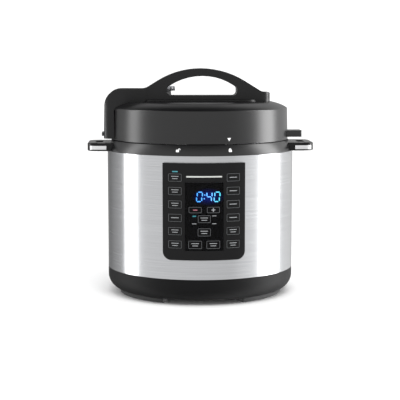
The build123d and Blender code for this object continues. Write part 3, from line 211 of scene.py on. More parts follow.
def makeMaterials():
    made = {key: mouldedPlastic(*values) for key, values in moulded.items()}
    for key, values in worked.items():
        made[key], tree, shader = workedMetal(*values)
        if key == "brushed_steel":    # brushed round the drum, so the light spreads upright
            shader.inputs["Anisotropic"].default_value = 0.8
            shader.inputs["Anisotropic Rotation"].default_value = 0.25
            around = addNode(tree, "ShaderNodeTangent", direction_type="RADIAL", axis="Z")
            tree.links.new(around.outputs["Tangent"], shader.inputs["Tangent"])
    silicone = made["silicone"].node_tree.nodes["Principled BSDF"]
    silicone.inputs["Subsurface Weight"].default_value = 0.3
    silicone.inputs["Subsurface Scale"].default_value = 2 * mm
    cup = made["cup_plastic"].node_tree.nodes["Principled BSDF"]
    cup.inputs["Alpha"].default_value = 0.6

    # Cast aluminium, faced on a lathe: light, with rings about the middle. Real rings are 0.2 mm
    # apart; drawn 6 mm apart to show.
    cast, tree, shader, place = startMaterial("turned_cast_aluminium", Metallic=1.0)
    rings = addNode(tree, "ShaderNodeTexWave", {
        "Vector": place, "Scale": 1 / (20 * mm), "Distortion": 0.6, "Detail": 2.0},
        wave_type="RINGS", rings_direction="Z")
    colourRamp = addNode(tree, "ShaderNodeValToRGB", {"Fac": rings.outputs["Fac"]})
    setRamp(colourRamp, [(0.0, linear("aeaeb0")), (1.0, linear("cacacc"))])
    tree.links.new(colourRamp.outputs["Color"], shader.inputs["Base Color"])
    gloss = addNode(tree, "ShaderNodeMapRange", {
        "Value": rings.outputs["Fac"], "To Min": 0.32, "To Max": 0.45})
    tree.links.new(gloss.outputs["Result"], shader.inputs["Roughness"])
    made["cast_aluminium"] = cast

    # PTFE coating sprayed on aluminium and baked: dark, with small pale flecks about 1 mm wide
    # and 4 mm apart.
    coating, tree, shader, place = startMaterial("sprayed_ptfe_coating", IOR=1.38, Roughness=0.42)
    flecks = addNode(tree, "ShaderNodeTexVoronoi", {"Vector": place, "Scale": 1 / (4 * mm)})
    colourRamp = addNode(tree, "ShaderNodeValToRGB", {"Fac": flecks.outputs["Distance"]})
    setRamp(colourRamp, [(0.08, linear("8a8a8c")), (0.2, linear("2c2c2e"))])
    tree.links.new(colourRamp.outputs["Color"], shader.inputs["Base Color"])
    made["nonstick"] = coating

    # Acrylic window, moulded and smoke tinted: mirror-smooth black that lets lit digits through.
    smoked, tree, shader, place = startMaterial(
        "smoke_tinted_acrylic", Base_Color=linear("020203"), IOR=1.49, Alpha=0.8,
        Specular_IOR_Level=0.1)
    wave = addNode(tree, "ShaderNodeTexNoise", {"Vector": place, "Scale": 1 / (30 * mm)})
    gloss = addNode(tree, "ShaderNodeMapRange", {
        "Value": wave.outputs["Fac"], "To Min": 0.05, "To Max": 0.09})
    tree.links.new(gloss.outputs["Result"], shader.inputs["Roughness"])
    made["smoked_window"] = smoked

    # Light-emitting segments under a diffusing film: pale in the middle, bluer at the sides,
    # and the last figure a little greener.
    lit, tree, shader, place = startMaterial(
        "lit_blue_segments", Base_Color=linear("0a2a55"), Roughness=0.4)
    across = addNode(tree, "ShaderNodeSeparateXYZ", {"Vector": place})
    shade = addNode(tree, "ShaderNodeMapRange", {
        "Value": across.outputs["X"], "From Min": litSpan[0] * mm, "From Max": litSpan[1] * mm})
    colourRamp = addNode(tree, "ShaderNodeValToRGB", {"Fac": shade.outputs["Result"]})
    setRamp(colourRamp, [(0.0, linear("3f9cff")), (0.6, linear("6cb8ff")), (1.0, linear("4fd4e2"))])
    tree.links.new(colourRamp.outputs["Color"], shader.inputs["Emission Color"])
    shader.inputs["Emission Strength"].default_value = 42.0
    made["lit_blue"] = lit

    # Indicators behind film: cyan lamps, soft at their edges. The one behind the smoked window
    # has to be far stronger to look as bright.
    for key, name, strength in (("lit_cyan", "lit_cyan_indicator", 0.5),
                                ("window_cyan", "lit_cyan_indicator_behind_window", 12.0)):
        lamp, tree, shader, place = startMaterial(name, Base_Color=linear("0a3a40"), Roughness=0.4)
        spot = addNode(tree, "ShaderNodeTexNoise", {"Vector": place, "Scale": 1 / (6 * mm)})
        colourRamp = addNode(tree, "ShaderNodeValToRGB", {"Fac": spot.outputs["Fac"]})
        setRamp(colourRamp, [(0.2, linear("3fb4c4")), (0.8, linear("7fe4ee"))])
        tree.links.new(colourRamp.outputs["Color"], shader.inputs["Emission Color"])
        shader.inputs["Emission Strength"].default_value = strength
        made[key] = lamp

    # Glow that the lit segments throw on the film round them: deep blue, gone a few mm away.
    glow, tree, shader, place = startMaterial(
        "blue_glow_on_film", Base_Color=linear("02030a"), Roughness=0.5)
    across, up = glowReach
    centred = addNode(tree, "ShaderNodeMapping", {
        "Vector": place, "Location": (-glowMiddle[0] / across, 0, -glowMiddle[1] / up),
        "Scale": (1 / (across * mm), 0, 1 / (up * mm))})
    falloff = addNode(tree, "ShaderNodeTexGradient", {"Vector": centred.outputs["Vector"]},
                      gradient_type="SPHERICAL")
    colourRamp = addNode(tree, "ShaderNodeValToRGB", {"Fac": falloff.outputs["Fac"]})
    setRamp(colourRamp, [(0.0, linear("000000")), (0.3, linear("040e50")), (1.0, linear("0c34b8"))])
    tree.links.new(colourRamp.outputs["Color"], shader.inputs["Emission Color"])
    shader.inputs["Emission Strength"].default_value = 9.0
    made["glow"] = glow
    return made


materials = makeMaterials()
print("materials made:", len(materials))


# ---- small helpers for shapes

def finishPiece(name, bm, body, finish, hides=(), sharp=32, wall=0.0, extra=()):
    # bmesh to a piece that rides a body. wall is in millimetres, inwards
    mesh = bpy.data.meshes.new(name)
    if wall:
        bmesh.ops.solidify(bm, geom=bm.faces[:], thickness=wall * mm)
    bm.to_mesh(mesh)
    bm.free()
    for key in (finish, *extra):
        mesh.materials.append(materials[key])
    mesh.shade_smooth()
    mesh.set_sharp_from_angle(angle=radians(sharp))
    piece = bpy.data.objects.new(name, mesh)
    bpy.context.scene.collection.objects.link(piece)
    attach(piece, body)
    if hides:
        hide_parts(*hides)
    return piece


def scaled(points):
    return [(a * mm, b * mm) for a, b in points]


def curveThrough(start, pull, end, count=10):
    # points on the smooth curve from start to end that leans towards pull
    points = []
    for i in range(count + 1):
        t = i / count
        points.append(tuple((1 - t) ** 2 * a + 2 * t * (1 - t) * b + t * t * c
                            for a, b, c in zip(start, pull, end)))
    return points


def filleted(points, radii, steps=8):
    # closed outline with its corners rounded, all in the outline's own units
    outline = []
    for i, (point, radius) in enumerate(zip(points, radii)):
        here, back = Vector(point), Vector(points[i - 1])
        ahead = Vector(points[(i + 1) % len(points)])
        if radius == 0:
            outline.append(tuple(here))
            continue
        inward, outward = (back - here).normalized(), (ahead - here).normalized()
        half = inward.angle(outward) / 2
        middle = here + (inward + outward).normalized() * radius / sin(half)
        first = here + inward * radius / tan(half) - middle
        last = here + outward * radius / tan(half) - middle
        turn = first.angle_signed(last)
        for k in range(steps + 1):
            spot = first.copy()
            spot.rotate(Matrix.Rotation(-turn * k / steps, 2))
            outline.append(tuple(middle + spot))
    return outline


def turnProfile(profile, steps=180, closed=True, rounding=0.0, segments=3, sharp=30):
    # (radius, height) line in mm, turned all the way round
    bm = bmesh.new()
    verts = [bm.verts.new((r, 0, z)) for r, z in scaled(profile)]
    edges = [bm.edges.new(pair) for pair in zip(verts, verts[1:] + verts[:1] * closed)]
    bmesh.ops.spin(bm, geom=verts + edges, cent=(0, 0, 0), axis=(0, 0, 1), angle=2 * pi,
                   steps=steps, use_merge=True)
    bmesh.ops.remove_doubles(bm, verts=bm.verts, dist=0.00001)
    bmesh.ops.recalc_face_normals(bm, faces=bm.faces)
    if rounding:
        roundEdges(bm, rounding, segments, sharp)
    return bm


def roundEdges(bm, offset, segments=3, sharp=30, only=None):
    # rounds every edge sharper than an angle, or those of them that only() picks
    edges = [e for e in bm.edges if len(e.link_faces) == 2 and e.calc_face_angle() > radians(sharp)]
    edges = [e for e in edges if only is None or only(e)]
    bmesh.ops.bevel(bm, geom=edges, offset=offset * mm, offset_type="OFFSET", affect="EDGES",
                    segments=segments, profile=0.5, material=-1, clamp_overlap=True)


def outlineEdges(bm, points, plane="XY", level=0.0):
    # closed loop of edges through (a, b) points in mm, in a plane at a level
    spots = {"XY": lambda a, b: (a, b, level * mm), "XZ": lambda a, b: (a, level * mm, b)}[plane]
    verts = [bm.verts.new(spots(a, b)) for a, b in scaled(points)]
    return [bm.edges.new(pair) for pair in zip(verts, verts[1:] + verts[:1])]


def filledPlate(outlines, plane="XY", level=0.0):
    # flat sheet inside the first outline, with the other outlines left open
    bm = bmesh.new()
    edges = [e for outline in outlines for e in outlineEdges(bm, outline, plane, level)]
    bmesh.ops.triangle_fill(bm, edges=edges, use_beauty=True, use_dissolve=False)
    return bm


def thicken(bm, shift):
    # pushes a flat sheet through a distance in mm, so that it becomes a closed plate
    made = bmesh.ops.extrude_face_region(bm, geom=bm.faces[:], use_keep_orig=True)
    moved = [v for v in made["geom"] if isinstance(v, bmesh.types.BMVert)]
    bmesh.ops.translate(bm, verts=moved, vec=Vector(shift) * mm)
    bmesh.ops.recalc_face_normals(bm, faces=bm.faces)
    return moved


def cutAcross(bm, places, axis=(1, 0, 0)):
    # cuts a mesh at places in mm along an axis, so that it can follow a curve
    for place in places:
        bmesh.ops.bisect_plane(bm, geom=bm.verts[:] + bm.edges[:] + bm.faces[:], dist=0.000001,
                               plane_co=Vector(axis) * place * mm, plane_no=axis)


def slotOutline(length, width, cx=0.0, cy=0.0, turn=0.0):
    half, r = length / 2 - width / 2, width / 2
    points = [(half + r * cos(a), r * sin(a)) for a in [radians(-90 + 22.5 * i) for i in range(9)]]
    points += [(-x, -y) for x, y in points]
    c, s = cos(radians(turn)), sin(radians(turn))
    return [(cx + x * c - y * s, cy + x * s + y * c) for x, y in points]


def circleOutline(radius, count, cx=0.0, cy=0.0):
    angles = [2 * pi * i / count for i in range(count)]
    return [(cx + radius * cos(a), cy + radius * sin(a)) for a in angles]


def boxOutline(width, height, corner, cx=0.0, cy=0.0, steps=4):
    w, h = width / 2, height / 2
    corners = [(cx - w, cy - h), (cx + w, cy - h), (cx + w, cy + h), (cx - w, cy + h)]
    return filleted(corners, [corner] * 4, steps)


def joinInto(bm, other):
    # adds another bmesh's shape to this one
    carrier = bpy.data.meshes.new("carrier")
    other.to_mesh(carrier)
    other.free()
    bm.from_mesh(carrier)
    bpy.data.meshes.remove(carrier)
    return bm


def cadCopy(node):
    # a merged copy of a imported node, ready to be smoothed
    bm = bmesh.new()
    bm.from_mesh(nodes[node].data)
    bmesh.ops.remove_doubles(bm, verts=bm.verts, dist=0.00002)
    bmesh.ops.dissolve_degenerate(bm, edges=bm.edges, dist=0.00001)
    return bm


# ---- steel shell and plastic collar

shell = {"radius": 137.5, "low": 38.6, "high": 211.8, "wall": 0.6, "steps": 180,
         "panelHole": (50.0, 72.0, 197.4), "inletHole": (15.0, 48.0, 72.2)}


def makeShell():
    r = shell["radius"]
    heights = [shell["low"], shell["inletHole"][1], shell["panelHole"][1],
               shell["inletHole"][2] + 0.2, 100, 130, 160, shell["panelHole"][2], shell["high"]]
    bm = turnProfile([(r, z) for z in heights], shell["steps"], closed=False)
    doomed = []
    for face in bm.faces:
        x, y, z = face.calc_center_median() / mm
        wide, low, high = shell["panelHole"] if y < 0 else shell["inletHole"]
        if abs(x) < wide and low < z < high:
            doomed.append(face)
    bmesh.ops.delete(bm, geom=doomed, context="FACES")
    finishPiece("steelShell", bm, "base", "brushed_steel", ["outer_shell"],
                wall=shell["wall"])


collar = {"outer": 137.8, "topOuter": 131.5, "inner": 126.6, "low": 211.8, "high": 227.1,
          "round": 0.9,
          "spoutAt": 142.5, "spoutRadius": 5.0, "spoutBore": 3.0, "spoutLow": 205.8,
          "spoutRoof": 215.8, "spoutHigh": 217.6, "bridgeFrom": 134.0, "bridgeLow": 213.8}


def makeCollar():
    c = collar
    profile = [(c["inner"], c["low"]), (c["outer"], c["low"]),
               (c["topOuter"], c["high"]), (c["inner"], c["high"])]
    bm = turnProfile(profile, 180, rounding=c["round"])
    finishPiece("topCollar", bm, "base", "charcoal_plastic", ["top_ring"])
    r, bore, roof = c["spoutRadius"], c["spoutBore"], c["spoutRoof"]
    profile = [(bore, c["spoutLow"]), (r, c["spoutLow"]), (r, c["spoutHigh"]), (0, c["spoutHigh"]),
               (0, roof), (bore, roof)]
    spout = turnProfile(profile, 32, closed=False, rounding=0.4)
    bmesh.ops.translate(spout, verts=spout.verts, vec=(0, c["spoutAt"] * mm, 0))
    near, far = c["bridgeFrom"], c["spoutAt"]
    bridge = filledPlate([[(-r, near), (r, near), (r, far), (-r, far)]], level=c["bridgeLow"])
    thicken(bridge, (0, 0, c["spoutHigh"] - c["bridgeLow"]))
    finishPiece("dripSpout", joinInto(spout, bridge), "base", "charcoal_plastic")


makeShell()
makeCollar()
print("shell and collar done")


# ---- base tray and feet

tray = {"radius": 137.4, "curve": 22.0, "bend": 27.0, "bottom": 7.5, "rim": 38.6, "wall": 3.0,
        "sweep": 62.4, "ventCircle": 92.0, "vents": 12, "vent": (22.0, 4.0),
        "screwCircle": 75.0, "screwHole": 3.9}


def makeTray():
    t = tray
    down = radians(t["sweep"])
    arc = [(t["radius"] - t["curve"] + t["curve"] * cos(a), t["bend"] + t["curve"] * sin(a))
           for a in [-down + down * i / 12 for i in range(13)]]
    side = turnProfile([*arc, (t["radius"], t["rim"])], 180, closed=False)
    holes = []
    for k in range(t["vents"]):
        a = radians(k * 360 / t["vents"] + 15)
        holes.append(slotOutline(*t["vent"], t["ventCircle"] * sin(a), -t["ventCircle"] * cos(a),
                                 k * 360 / t["vents"] + 105))
    for k in range(4):
        a = radians(k * 90 + 45)
        x, y = t["screwCircle"] * sin(a), -t["screwCircle"] * cos(a)
        holes.append(circleOutline(t["screwHole"], 20, x, y))
    floor = filledPlate([circleOutline(arc[0][0], 180), *holes], level=t["bottom"])
    bm = joinInto(side, floor)
    bmesh.ops.remove_doubles(bm, verts=bm.verts, dist=0.00005)
    bmesh.ops.recalc_face_normals(bm, faces=bm.faces)
    finishPiece("baseTray", bm, "base", "base_plastic", ["base_tray"],
                wall=t["wall"])


feet = {"outer": 122.0, "width": 14.0, "taper": 1.0, "high": 7.9, "starts": (28, 100, 208, 280),
        "arc": 52, "steps": 26, "round": 1.2}


def makeFeet():
    f = feet
    bm = bmesh.new()
    inner = f["outer"] - f["width"]
    profile = [(inner, f["high"]), (inner + f["taper"], 0), (f["outer"] - f["taper"], 0),
               (f["outer"], f["high"])]
    for start in f["starts"]:
        a = radians(start - 90)
        verts = [bm.verts.new((r * cos(a), r * sin(a), z)) for r, z in scaled(profile)]
        face = bm.faces.new(verts)
        bmesh.ops.spin(bm, geom=[*verts, *face.edges, face], cent=(0, 0, 0), axis=(0, 0, 1),
                       angle=radians(f["arc"]), steps=f["steps"])
    bmesh.ops.remove_doubles(bm, verts=bm.verts, dist=0.00001)
    bmesh.ops.recalc_face_normals(bm, faces=bm.faces)
    roundEdges(bm, f["round"], 3, 40)
    finishPiece("softFeet", bm, "base", "rubber", ["rubber_feet"])


makeTray()
makeFeet()
print("base and feet done")


# ---- carrying handles with their bright inserts

carry = {"start": 130.0, "reach": 166.0, "half": 38.0, "corner": 14.0, "low": 211.8, "thick": 11.7,
         "tuck": 124.5, "slot": (144.0, 154.6, 15.6), "round": 1.6, "trimFrom": 138.0,
         "trimWrap": 5.0, "trimLow": 213.75, "trimHigh": 5.8, "trimThick": 1.2, "trimProud": 0.12,
         "trimRound": 0.35}


def makeCarryHandle(side):
    c = carry
    outer = [(c["start"], -c["half"]), (c["reach"], -c["half"]),
             (c["reach"], c["half"]), (c["start"], c["half"])]
    outline = filleted(outer, [0, c["corner"], c["corner"], 0], 10)
    for y in (30, 20, 10, 0, -10, -20, -30):
        outline.append(((c["start"] ** 2 - y * y) ** 0.5, y))
    outline = [(x if x > c["start"] + 0.01 or abs(y) < c["half"] else c["tuck"], y)
               for x, y in outline]
    near, far, half = c["slot"]
    opening = boxOutline(far - near, 2 * half, 1.0, (near + far) / 2, 0)
    bm = filledPlate([outline, opening], level=c["low"])
    thicken(bm, (0, 0, c["thick"]))
    roundEdges(bm, c["round"], 4, 40, lambda e: all(v.co.x > (c["start"] + 8) * mm for v in e.verts)
               and not all(abs(v.co.x - (near + far) / 2 * mm) < (far - near) / 2 * mm + 0.0001
                           and abs(v.co.y) < (half + 0.1) * mm for v in e.verts))
    path = filleted([(c["trimFrom"], -c["half"]), (c["reach"], -c["half"]), (c["reach"], 0)],
                    [0, c["corner"], 0], 16)
    path = [(x, y) for x, y in path if y < c["trimWrap"] - c["half"]]
    trim = bmesh.new()
    verts = [trim.verts.new((x * mm, y * mm, c["trimLow"] * mm)) for x, y in path]
    edges = [trim.edges.new(pair) for pair in zip(verts, verts[1:])]
    raised = bmesh.ops.extrude_edge_only(trim, edges=edges)
    upper = [v for v in raised["geom"] if isinstance(v, bmesh.types.BMVert)]
    bmesh.ops.translate(trim, verts=upper, vec=(0, 0, c["trimHigh"] * mm))
    bmesh.ops.recalc_face_normals(trim, faces=trim.faces)
    if sum(f.normal.y for f in trim.faces) > 0:
        bmesh.ops.reverse_faces(trim, faces=trim.faces)
    bmesh.ops.solidify(trim, geom=trim.faces[:], thickness=c["trimThick"] * mm)
    for v in trim.verts:    # the insert stands a hair proud
        v.co.y -= c["trimProud"] * mm
    bmesh.ops.recalc_face_normals(trim, faces=trim.faces)
    roundEdges(trim, c["trimRound"], 2, 50)
    name = "Right" if side > 0 else "Left"
    for shape in (bm, trim):
        if side < 0:
            bmesh.ops.scale(shape, vec=(-1, 1, 1), verts=shape.verts)
            bmesh.ops.recalc_face_normals(shape, faces=shape.faces)
    finishPiece("carryHandle" + name, bm, "base", "polished_plastic",
                ["side_handle_" + name.lower()])
    finishPiece("handleInsert" + name, trim, "base", "bright_trim",
                ["handle_trim_" + name.lower()])


makeCarryHandle(1)
makeCarryHandle(-1)
print("carrying handles done")


# ---- lid cover with its mound and fins

# mound: length, width, height and lean of its sides. fins: side, reach, underside, thickness.
# valveHoles: x, y, radius
lid = {"radius": 130.1, "edgeRadius": 129.1, "low": 227.9, "edge": 273.5, "shoulder": (122.9, 278.8),
       "crownRadius": 107.1, "crown": 282.5, "wall": 2.4, "arris": 0.9,
       "mound": (184.0, 58.0, 3.6, 2.1), "moundRound": 1.4, "sunk": 0.6,
       "fins": ((1, 150.6, 230.4, 9.4), (-1, 145.5, 232.6, 5.0)), "finHalf": 15.0,
       "finFrom": 128.4, "finCorner": 2.5, "finRound": 0.9,
       "valveHoles": ((-50.0, 60.0, 6.0), (40.0, 60.0, 4.4))}


def makeLid():
    c = lid
    shoulder = curveThrough((c["edgeRadius"], c["edge"]), c["shoulder"], (c["crownRadius"], c["crown"]))
    bm = turnProfile([(c["radius"], c["low"]), *shoulder], 180, closed=False)
    holes = [circleOutline(r, 28, x, y) for x, y, r in c["valveHoles"]]
    crown = filledPlate([circleOutline(c["crownRadius"], 180), *holes], level=c["crown"])
    joinInto(bm, crown)
    bmesh.ops.remove_doubles(bm, verts=bm.verts, dist=0.00005)
    bmesh.ops.recalc_face_normals(bm, faces=bm.faces)
    arris = [e for e in bm.edges if len(e.link_faces) == 2 and e.calc_face_angle() > radians(40)]
    bmesh.ops.bevel(bm, geom=arris, offset=c["arris"] * mm, affect="EDGES", segments=3,
                    profile=0.5, material=-1)
    finishPiece("lidCover", bm, "lid", "charcoal_plastic", ["lid_cover"],
                wall=c["wall"])

    length, width, height, lean = c["mound"]
    mound = filledPlate([slotOutline(length, width)], level=c["crown"] - c["sunk"])
    top = thicken(mound, (0, 0, height + c["sunk"]))
    for v in top:
        v.co.x *= (length / 2 - lean) / (length / 2)
        v.co.y *= (width / 2 - lean) / (width / 2)
    roundEdges(mound, c["moundRound"], 4, 25,
               lambda e: all(v.co.z > (c["crown"] + 1) * mm for v in e.verts))
    for side, reach, low, thick in c["fins"]:
        near, far, half, corner = side * c["finFrom"], side * reach, c["finHalf"], c["finCorner"]
        corners = [(near, -half), (far, -half), (far, half), (near, half)]
        fin = filledPlate([filleted(corners, [0, corner, corner, 0], 5)], level=low)
        thicken(fin, (0, 0, thick))
        roundEdges(fin, c["finRound"], 3, 40,
                   lambda e: all(abs(v.co.x) > (c["radius"] + 0.9) * mm for v in e.verts))
        joinInto(mound, fin)
    finishPiece("lidMoundAndFins", mound, "lid", "charcoal_plastic")


makeLid()
print("lid cover done")


# ---- lid handle

# under: where the handle follows the lid, as (x, z). plan: x, half width and corner radius along it
grip = {"top": 331.5, "radius": 122.0, "slope": 32.0, "centre": 1.0, "armTop": 302.0,
        "armX": -142.3, "armLean": 1.6, "foot": 229.0, "stubTop": 296.6, "stubX": 103.4,
        "under": ((103.4, 281.2), (-107.0, 281.2), (-119.0, 276.0), (-127.0, 271.0), (-126.9, 229.0)),
        "holeFloor": 292.0, "holeTop": 320.2, "holeRadius": 88.0, "holeSlope": 33.0,
        "holeCentre": 2.5, "holeHalf": 51.5, "round": 2.4,
        "plan": ((-142.4, 28, 12), (-112, 28, 50), (-72, 17, 50), (62, 17, 60), (82, 20, 60),
                 (103.4, 20, 14)),
        "cuts": (*range(-140, 100, 4), -141.2, 90, 94, 98, 100.5, 102.3)}


def halfWidths():
    # the handle's half width against its place along X, from its rounded plan
    near = [(x, y) for x, y, r in grip["plan"]]
    radii = [r for x, y, r in grip["plan"]]
    outline = filleted(near + [(x, -y) for x, y in reversed(near)], radii + radii[::-1], 10)
    return sorted((x, y) for x, y in outline if y > 0)


def widthAt(widths, x):
    for (x0, w0), (x1, w1) in zip(widths, widths[1:]):
        if x0 <= x <= x1:
            return w1 if x1 - x0 < 0.0001 else w0 + (w1 - w0) * (x - x0) / (x1 - x0)
    return widths[0][1] if x < widths[0][0] else widths[-1][1]


def makeGrip():
    g = grip
    rise = tan(radians(g["slope"]))
    peak = g["top"] + g["radius"] * (1 / cos(radians(g["slope"])) - 1)
    side = [(g["armX"], g["foot"]), (g["armX"] + g["armLean"], g["armTop"]),
            (g["centre"] - (peak - g["armTop"]) / rise, g["armTop"]), (g["centre"], peak),
            (g["centre"] + (peak - g["stubTop"]) / rise, g["stubTop"]), (g["stubX"], g["stubTop"]),
            *g["under"]]
    outline = filleted(side, [1, 25, 18, g["radius"], 20, 3, 0, 0, 0, 0, 0], 14)
    drop = tan(radians(g["holeSlope"]))
    peak = g["holeTop"] + g["holeRadius"] * (1 / cos(radians(g["holeSlope"])) - 1)
    low, high = g["holeCentre"] - g["holeHalf"], g["holeCentre"] + g["holeHalf"]
    shoulder = peak - g["holeHalf"] * drop
    hole = [(low, g["holeFloor"]), (low, shoulder), (g["holeCentre"], peak), (high, shoulder),
            (high, g["holeFloor"])]
    opening = filleted(hole, [5.5, 5, g["holeRadius"], 5, 5.5], 10)
    bm = filledPlate([outline, opening], plane="XZ")
    widths = halfWidths()
    cutAcross(bm, g["cuts"])
    back = thicken(bm, (0, 1, 0))
    behind = set(back)
    for v in bm.verts:
        half = widthAt(widths, v.co.x / mm) * mm
        v.co.y = half if v in behind else -half
    bmesh.ops.dissolve_limit(bm, angle_limit=radians(0.5), verts=bm.verts, edges=bm.edges)
    roundEdges(bm, g["round"], 4, 45)
    bmesh.ops.remove_doubles(bm, verts=bm.verts, dist=0.00002)
    finishPiece("lidGrip", bm, "lid", "black_plastic", ["lid_handle"], sharp=40)


makeGrip()
print("lid handle done")


# ---- control panel: made flat, then bent round the drum

# window: width, underside and top. lampHole: width, height, corner. middleKeys: distance round
# the shell, height on it, width and height of the cap
panel = {"radius": 141.3, "arcRadius": 137.5, "flatHalf": 59.3, "low": 66.8, "high": 202.6,
         "corner": 12.0, "thick": 3.6, "edgeRound": 1.6, "holeRound": 0.18, "cutStep": 3,
         "window": (54.0, 80.5, 175.7), "windowIn": 0.2, "windowThick": 2.0, "keyGap": 0.3,
         "keySide": (19.6, 11.4), "sideArc": 40.0, "rowLow": 89.0, "pitch": 18.7, "rows": 6,
         "keyDepth": 2.4, "keyProud": 0.25, "keyCorner": 1.6, "keyRound": 0.3,
         "lampHole": (8.3, 1.7, 0.6), "lampUp": 190.8,
         "middleKeys": {"key_minus": (-12.3, 137.7, 18.3, 9.0),
                        "key_plus": (12.3, 137.7, 18.3, 9.0),
                        "key_pressure": (0, 125.0, 18.0, 11.0),
                        "key_temperature": (0, 106.5, 18.6, 11.4),
                        "key_start": (-12.3, 89.0, 19.4, 11.8),
                        "key_stop": (12.3, 89.0, 19.4, 11.8)}}


def onFace(arc):
    # a distance round the steel shell, as the same bearing's distance round the panel's face
    return arc * panel["radius"] / panel["arcRadius"]


def bend(bm):
    # x is the distance round the drum at the face, y how far outside the face
    for v in bm.verts:
        bearing, radius = v.co.x / (panel["radius"] * mm), panel["radius"] * mm + v.co.y
        v.co.x, v.co.y = radius * sin(bearing), -radius * cos(bearing)
    bmesh.ops.recalc_face_normals(bm, faces=bm.faces)
    return bm


def keyPlaces():
    places = {}
    for name, x in (("key_left_", -1), ("key_right_", 1)):
        for row in range(panel["rows"]):
            z = panel["rowLow"] + (panel["rows"] - 1 - row) * panel["pitch"]
            places[name + str(row + 1)] = (x * panel["sideArc"], z, *panel["keySide"])
    return places


def keyHole(arc, z, wide, high):
    gap = panel["keyGap"]
    return boxOutline(wide + 2 * gap, high + 2 * gap, panel["keyCorner"] + gap, onFace(arc), z)


def makeBezel():
    p = panel
    half = p["flatHalf"]
    middle, high = (p["low"] + p["high"]) / 2, p["high"] - p["low"]
    corners = [(-half, p["low"]), (half, p["low"]), (half, p["high"]), (-half, p["high"])]
    outlines = [filleted(corners, [p["corner"], p["corner"], 1, 1], 8)]
    wide, low, top = p["window"]
    outlines.append(boxOutline(wide + 0.4, top - low + 0.3, 0.3, 0, (low + top) / 2, 2))
    outlines += [keyHole(*place) for place in keyPlaces().values()]
    outlines.append(boxOutline(*p["lampHole"], onFace(-p["sideArc"]), p["lampUp"]))
    bm = filledPlate(outlines, plane="XZ")
    cutAcross(bm, range(-57, 58, p["cutStep"]))
    thicken(bm, (0, -p["thick"], 0))
    inFront = lambda e: all(abs(v.co.y) < 0.00001 for v in e.verts)
    roundEdges(bm, p["edgeRound"], 4, 50, lambda e: inFront(e) and (
        abs(e.verts[0].co.x) > 0.0525 or
        abs(e.verts[0].co.z - middle * mm) > (high / 2 - 0.5) * mm))
    roundEdges(bm, p["holeRound"], 1, 60, inFront)
    finishPiece("panelBezel", bend(bm), "base", "panel_plastic", ["panel_bezel"])


def makeWindow():
    p = panel
    wide, low, top = p["window"]
    outlines = [boxOutline(wide, top - low, 0.3, 0, (low + top) / 2, 2)]
    outlines += [keyHole(*place) for place in p["middleKeys"].values()]
    bm = filledPlate(outlines, plane="XZ", level=-p["windowIn"])
    cutAcross(bm, range(-26, 27, 2))
    thicken(bm, (0, -p["windowThick"], 0))
    roundEdges(bm, 0.15, 1, 60,
               lambda e: all(v.co.y > -(p["windowIn"] + 0.01) * mm for v in e.verts))
    finishPiece("smokedWindow", bend(bm), "base", "smoked_window",
                ["panel_window"])


def raisedShape(outlines, x, z, base, height, finish=0, step=2.0):
    # a thin shape on the panel, bent with it, in one of the piece's finishes
    placed = [[(x + a, z + b) for a, b in outline] for outline in outlines]
    bm = filledPlate(placed, plane="XZ", level=base)
    spread = max(abs(a) for a, b in outlines[0])
    count = max(2, int(spread * 2 / step))
    cutAcross(bm, [x - spread + 2 * spread * i / count for i in range(1, count)])
    thicken(bm, (0, height, 0))
    for face in bm.faces:
        face.material_index = finish
    return bm


# Marks on the keys are plain bars in place of words: (across, up, length, height)
marks = {"two": ((0, 1.7, 10.5, 0.9), (0, -1.5, 8.0, 0.9)), "one": ((0, 0.1, 11.0, 1.0),),
         "minus": ((0, 0, 6.0, 1.2),), "plus": ((0, 0, 5.4, 1.2),)}
keyMarks = {"key_minus": "minus", "key_plus": "plus", "key_left_4": "one", "key_right_1": "one",
            "key_right_2": "one", "key_right_3": "one", "key_right_4": "one"}
inkThick = 0.1    # of the print, half of it above the film


def makeKey(name, arc, z, w, h, cap):
    p = panel
    x, corner, proud = onFace(arc), p["keyCorner"], p["keyProud"]
    bm = raisedShape([boxOutline(w, h, corner)], x, z, -p["keyDepth"], p["keyDepth"] + proud)
    roundEdges(bm, p["keyRound"], 2, 60, lambda e: all(v.co.y > (proud - 0.01) * mm for v in e.verts))
    ink = proud - inkThick / 2
    frameLine = [boxOutline(w - 0.7, h - 0.7, corner - 0.3), boxOutline(w - 1.7, h - 1.7, corner - 0.8)]
    joinInto(bm, raisedShape(frameLine, x, z, ink, inkThick, 1))
    kind = keyMarks.get(name, "two")
    for across, up, long, high in marks[kind]:
        bar = [boxOutline(long, high, high / 2.2)]
        joinInto(bm, raisedShape(bar, x + across, z + up, ink, inkThick, 2))
    if kind == "plus":
        joinInto(bm, raisedShape([boxOutline(1.2, 5.4, 0.5)], x, z, ink, 1.2 * inkThick, 2))
    bend(bm)
    label = "red_ink" if kind == "minus" else "label_ink"
    finishPiece("cap_" + name, bm, name, cap, [name], extra=("grey_ink", label))


# leftOf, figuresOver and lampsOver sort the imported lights. film: width, height, corner, x, z
display = {"leftOf": -30.0, "figuresOver": 140.0, "lampsOver": 127.0,
           "film": (44, 28, 1.0, 5.0, 155.5), "filmIn": 136.1, "filmThick": 0.15,
           "bar": (50, 2.0, 0.9), "barUp": 183.9,
           "lampMark": (6, 0.9, 0.4), "lampArc": 13.6, "markUps": (129.4, 118.4)}


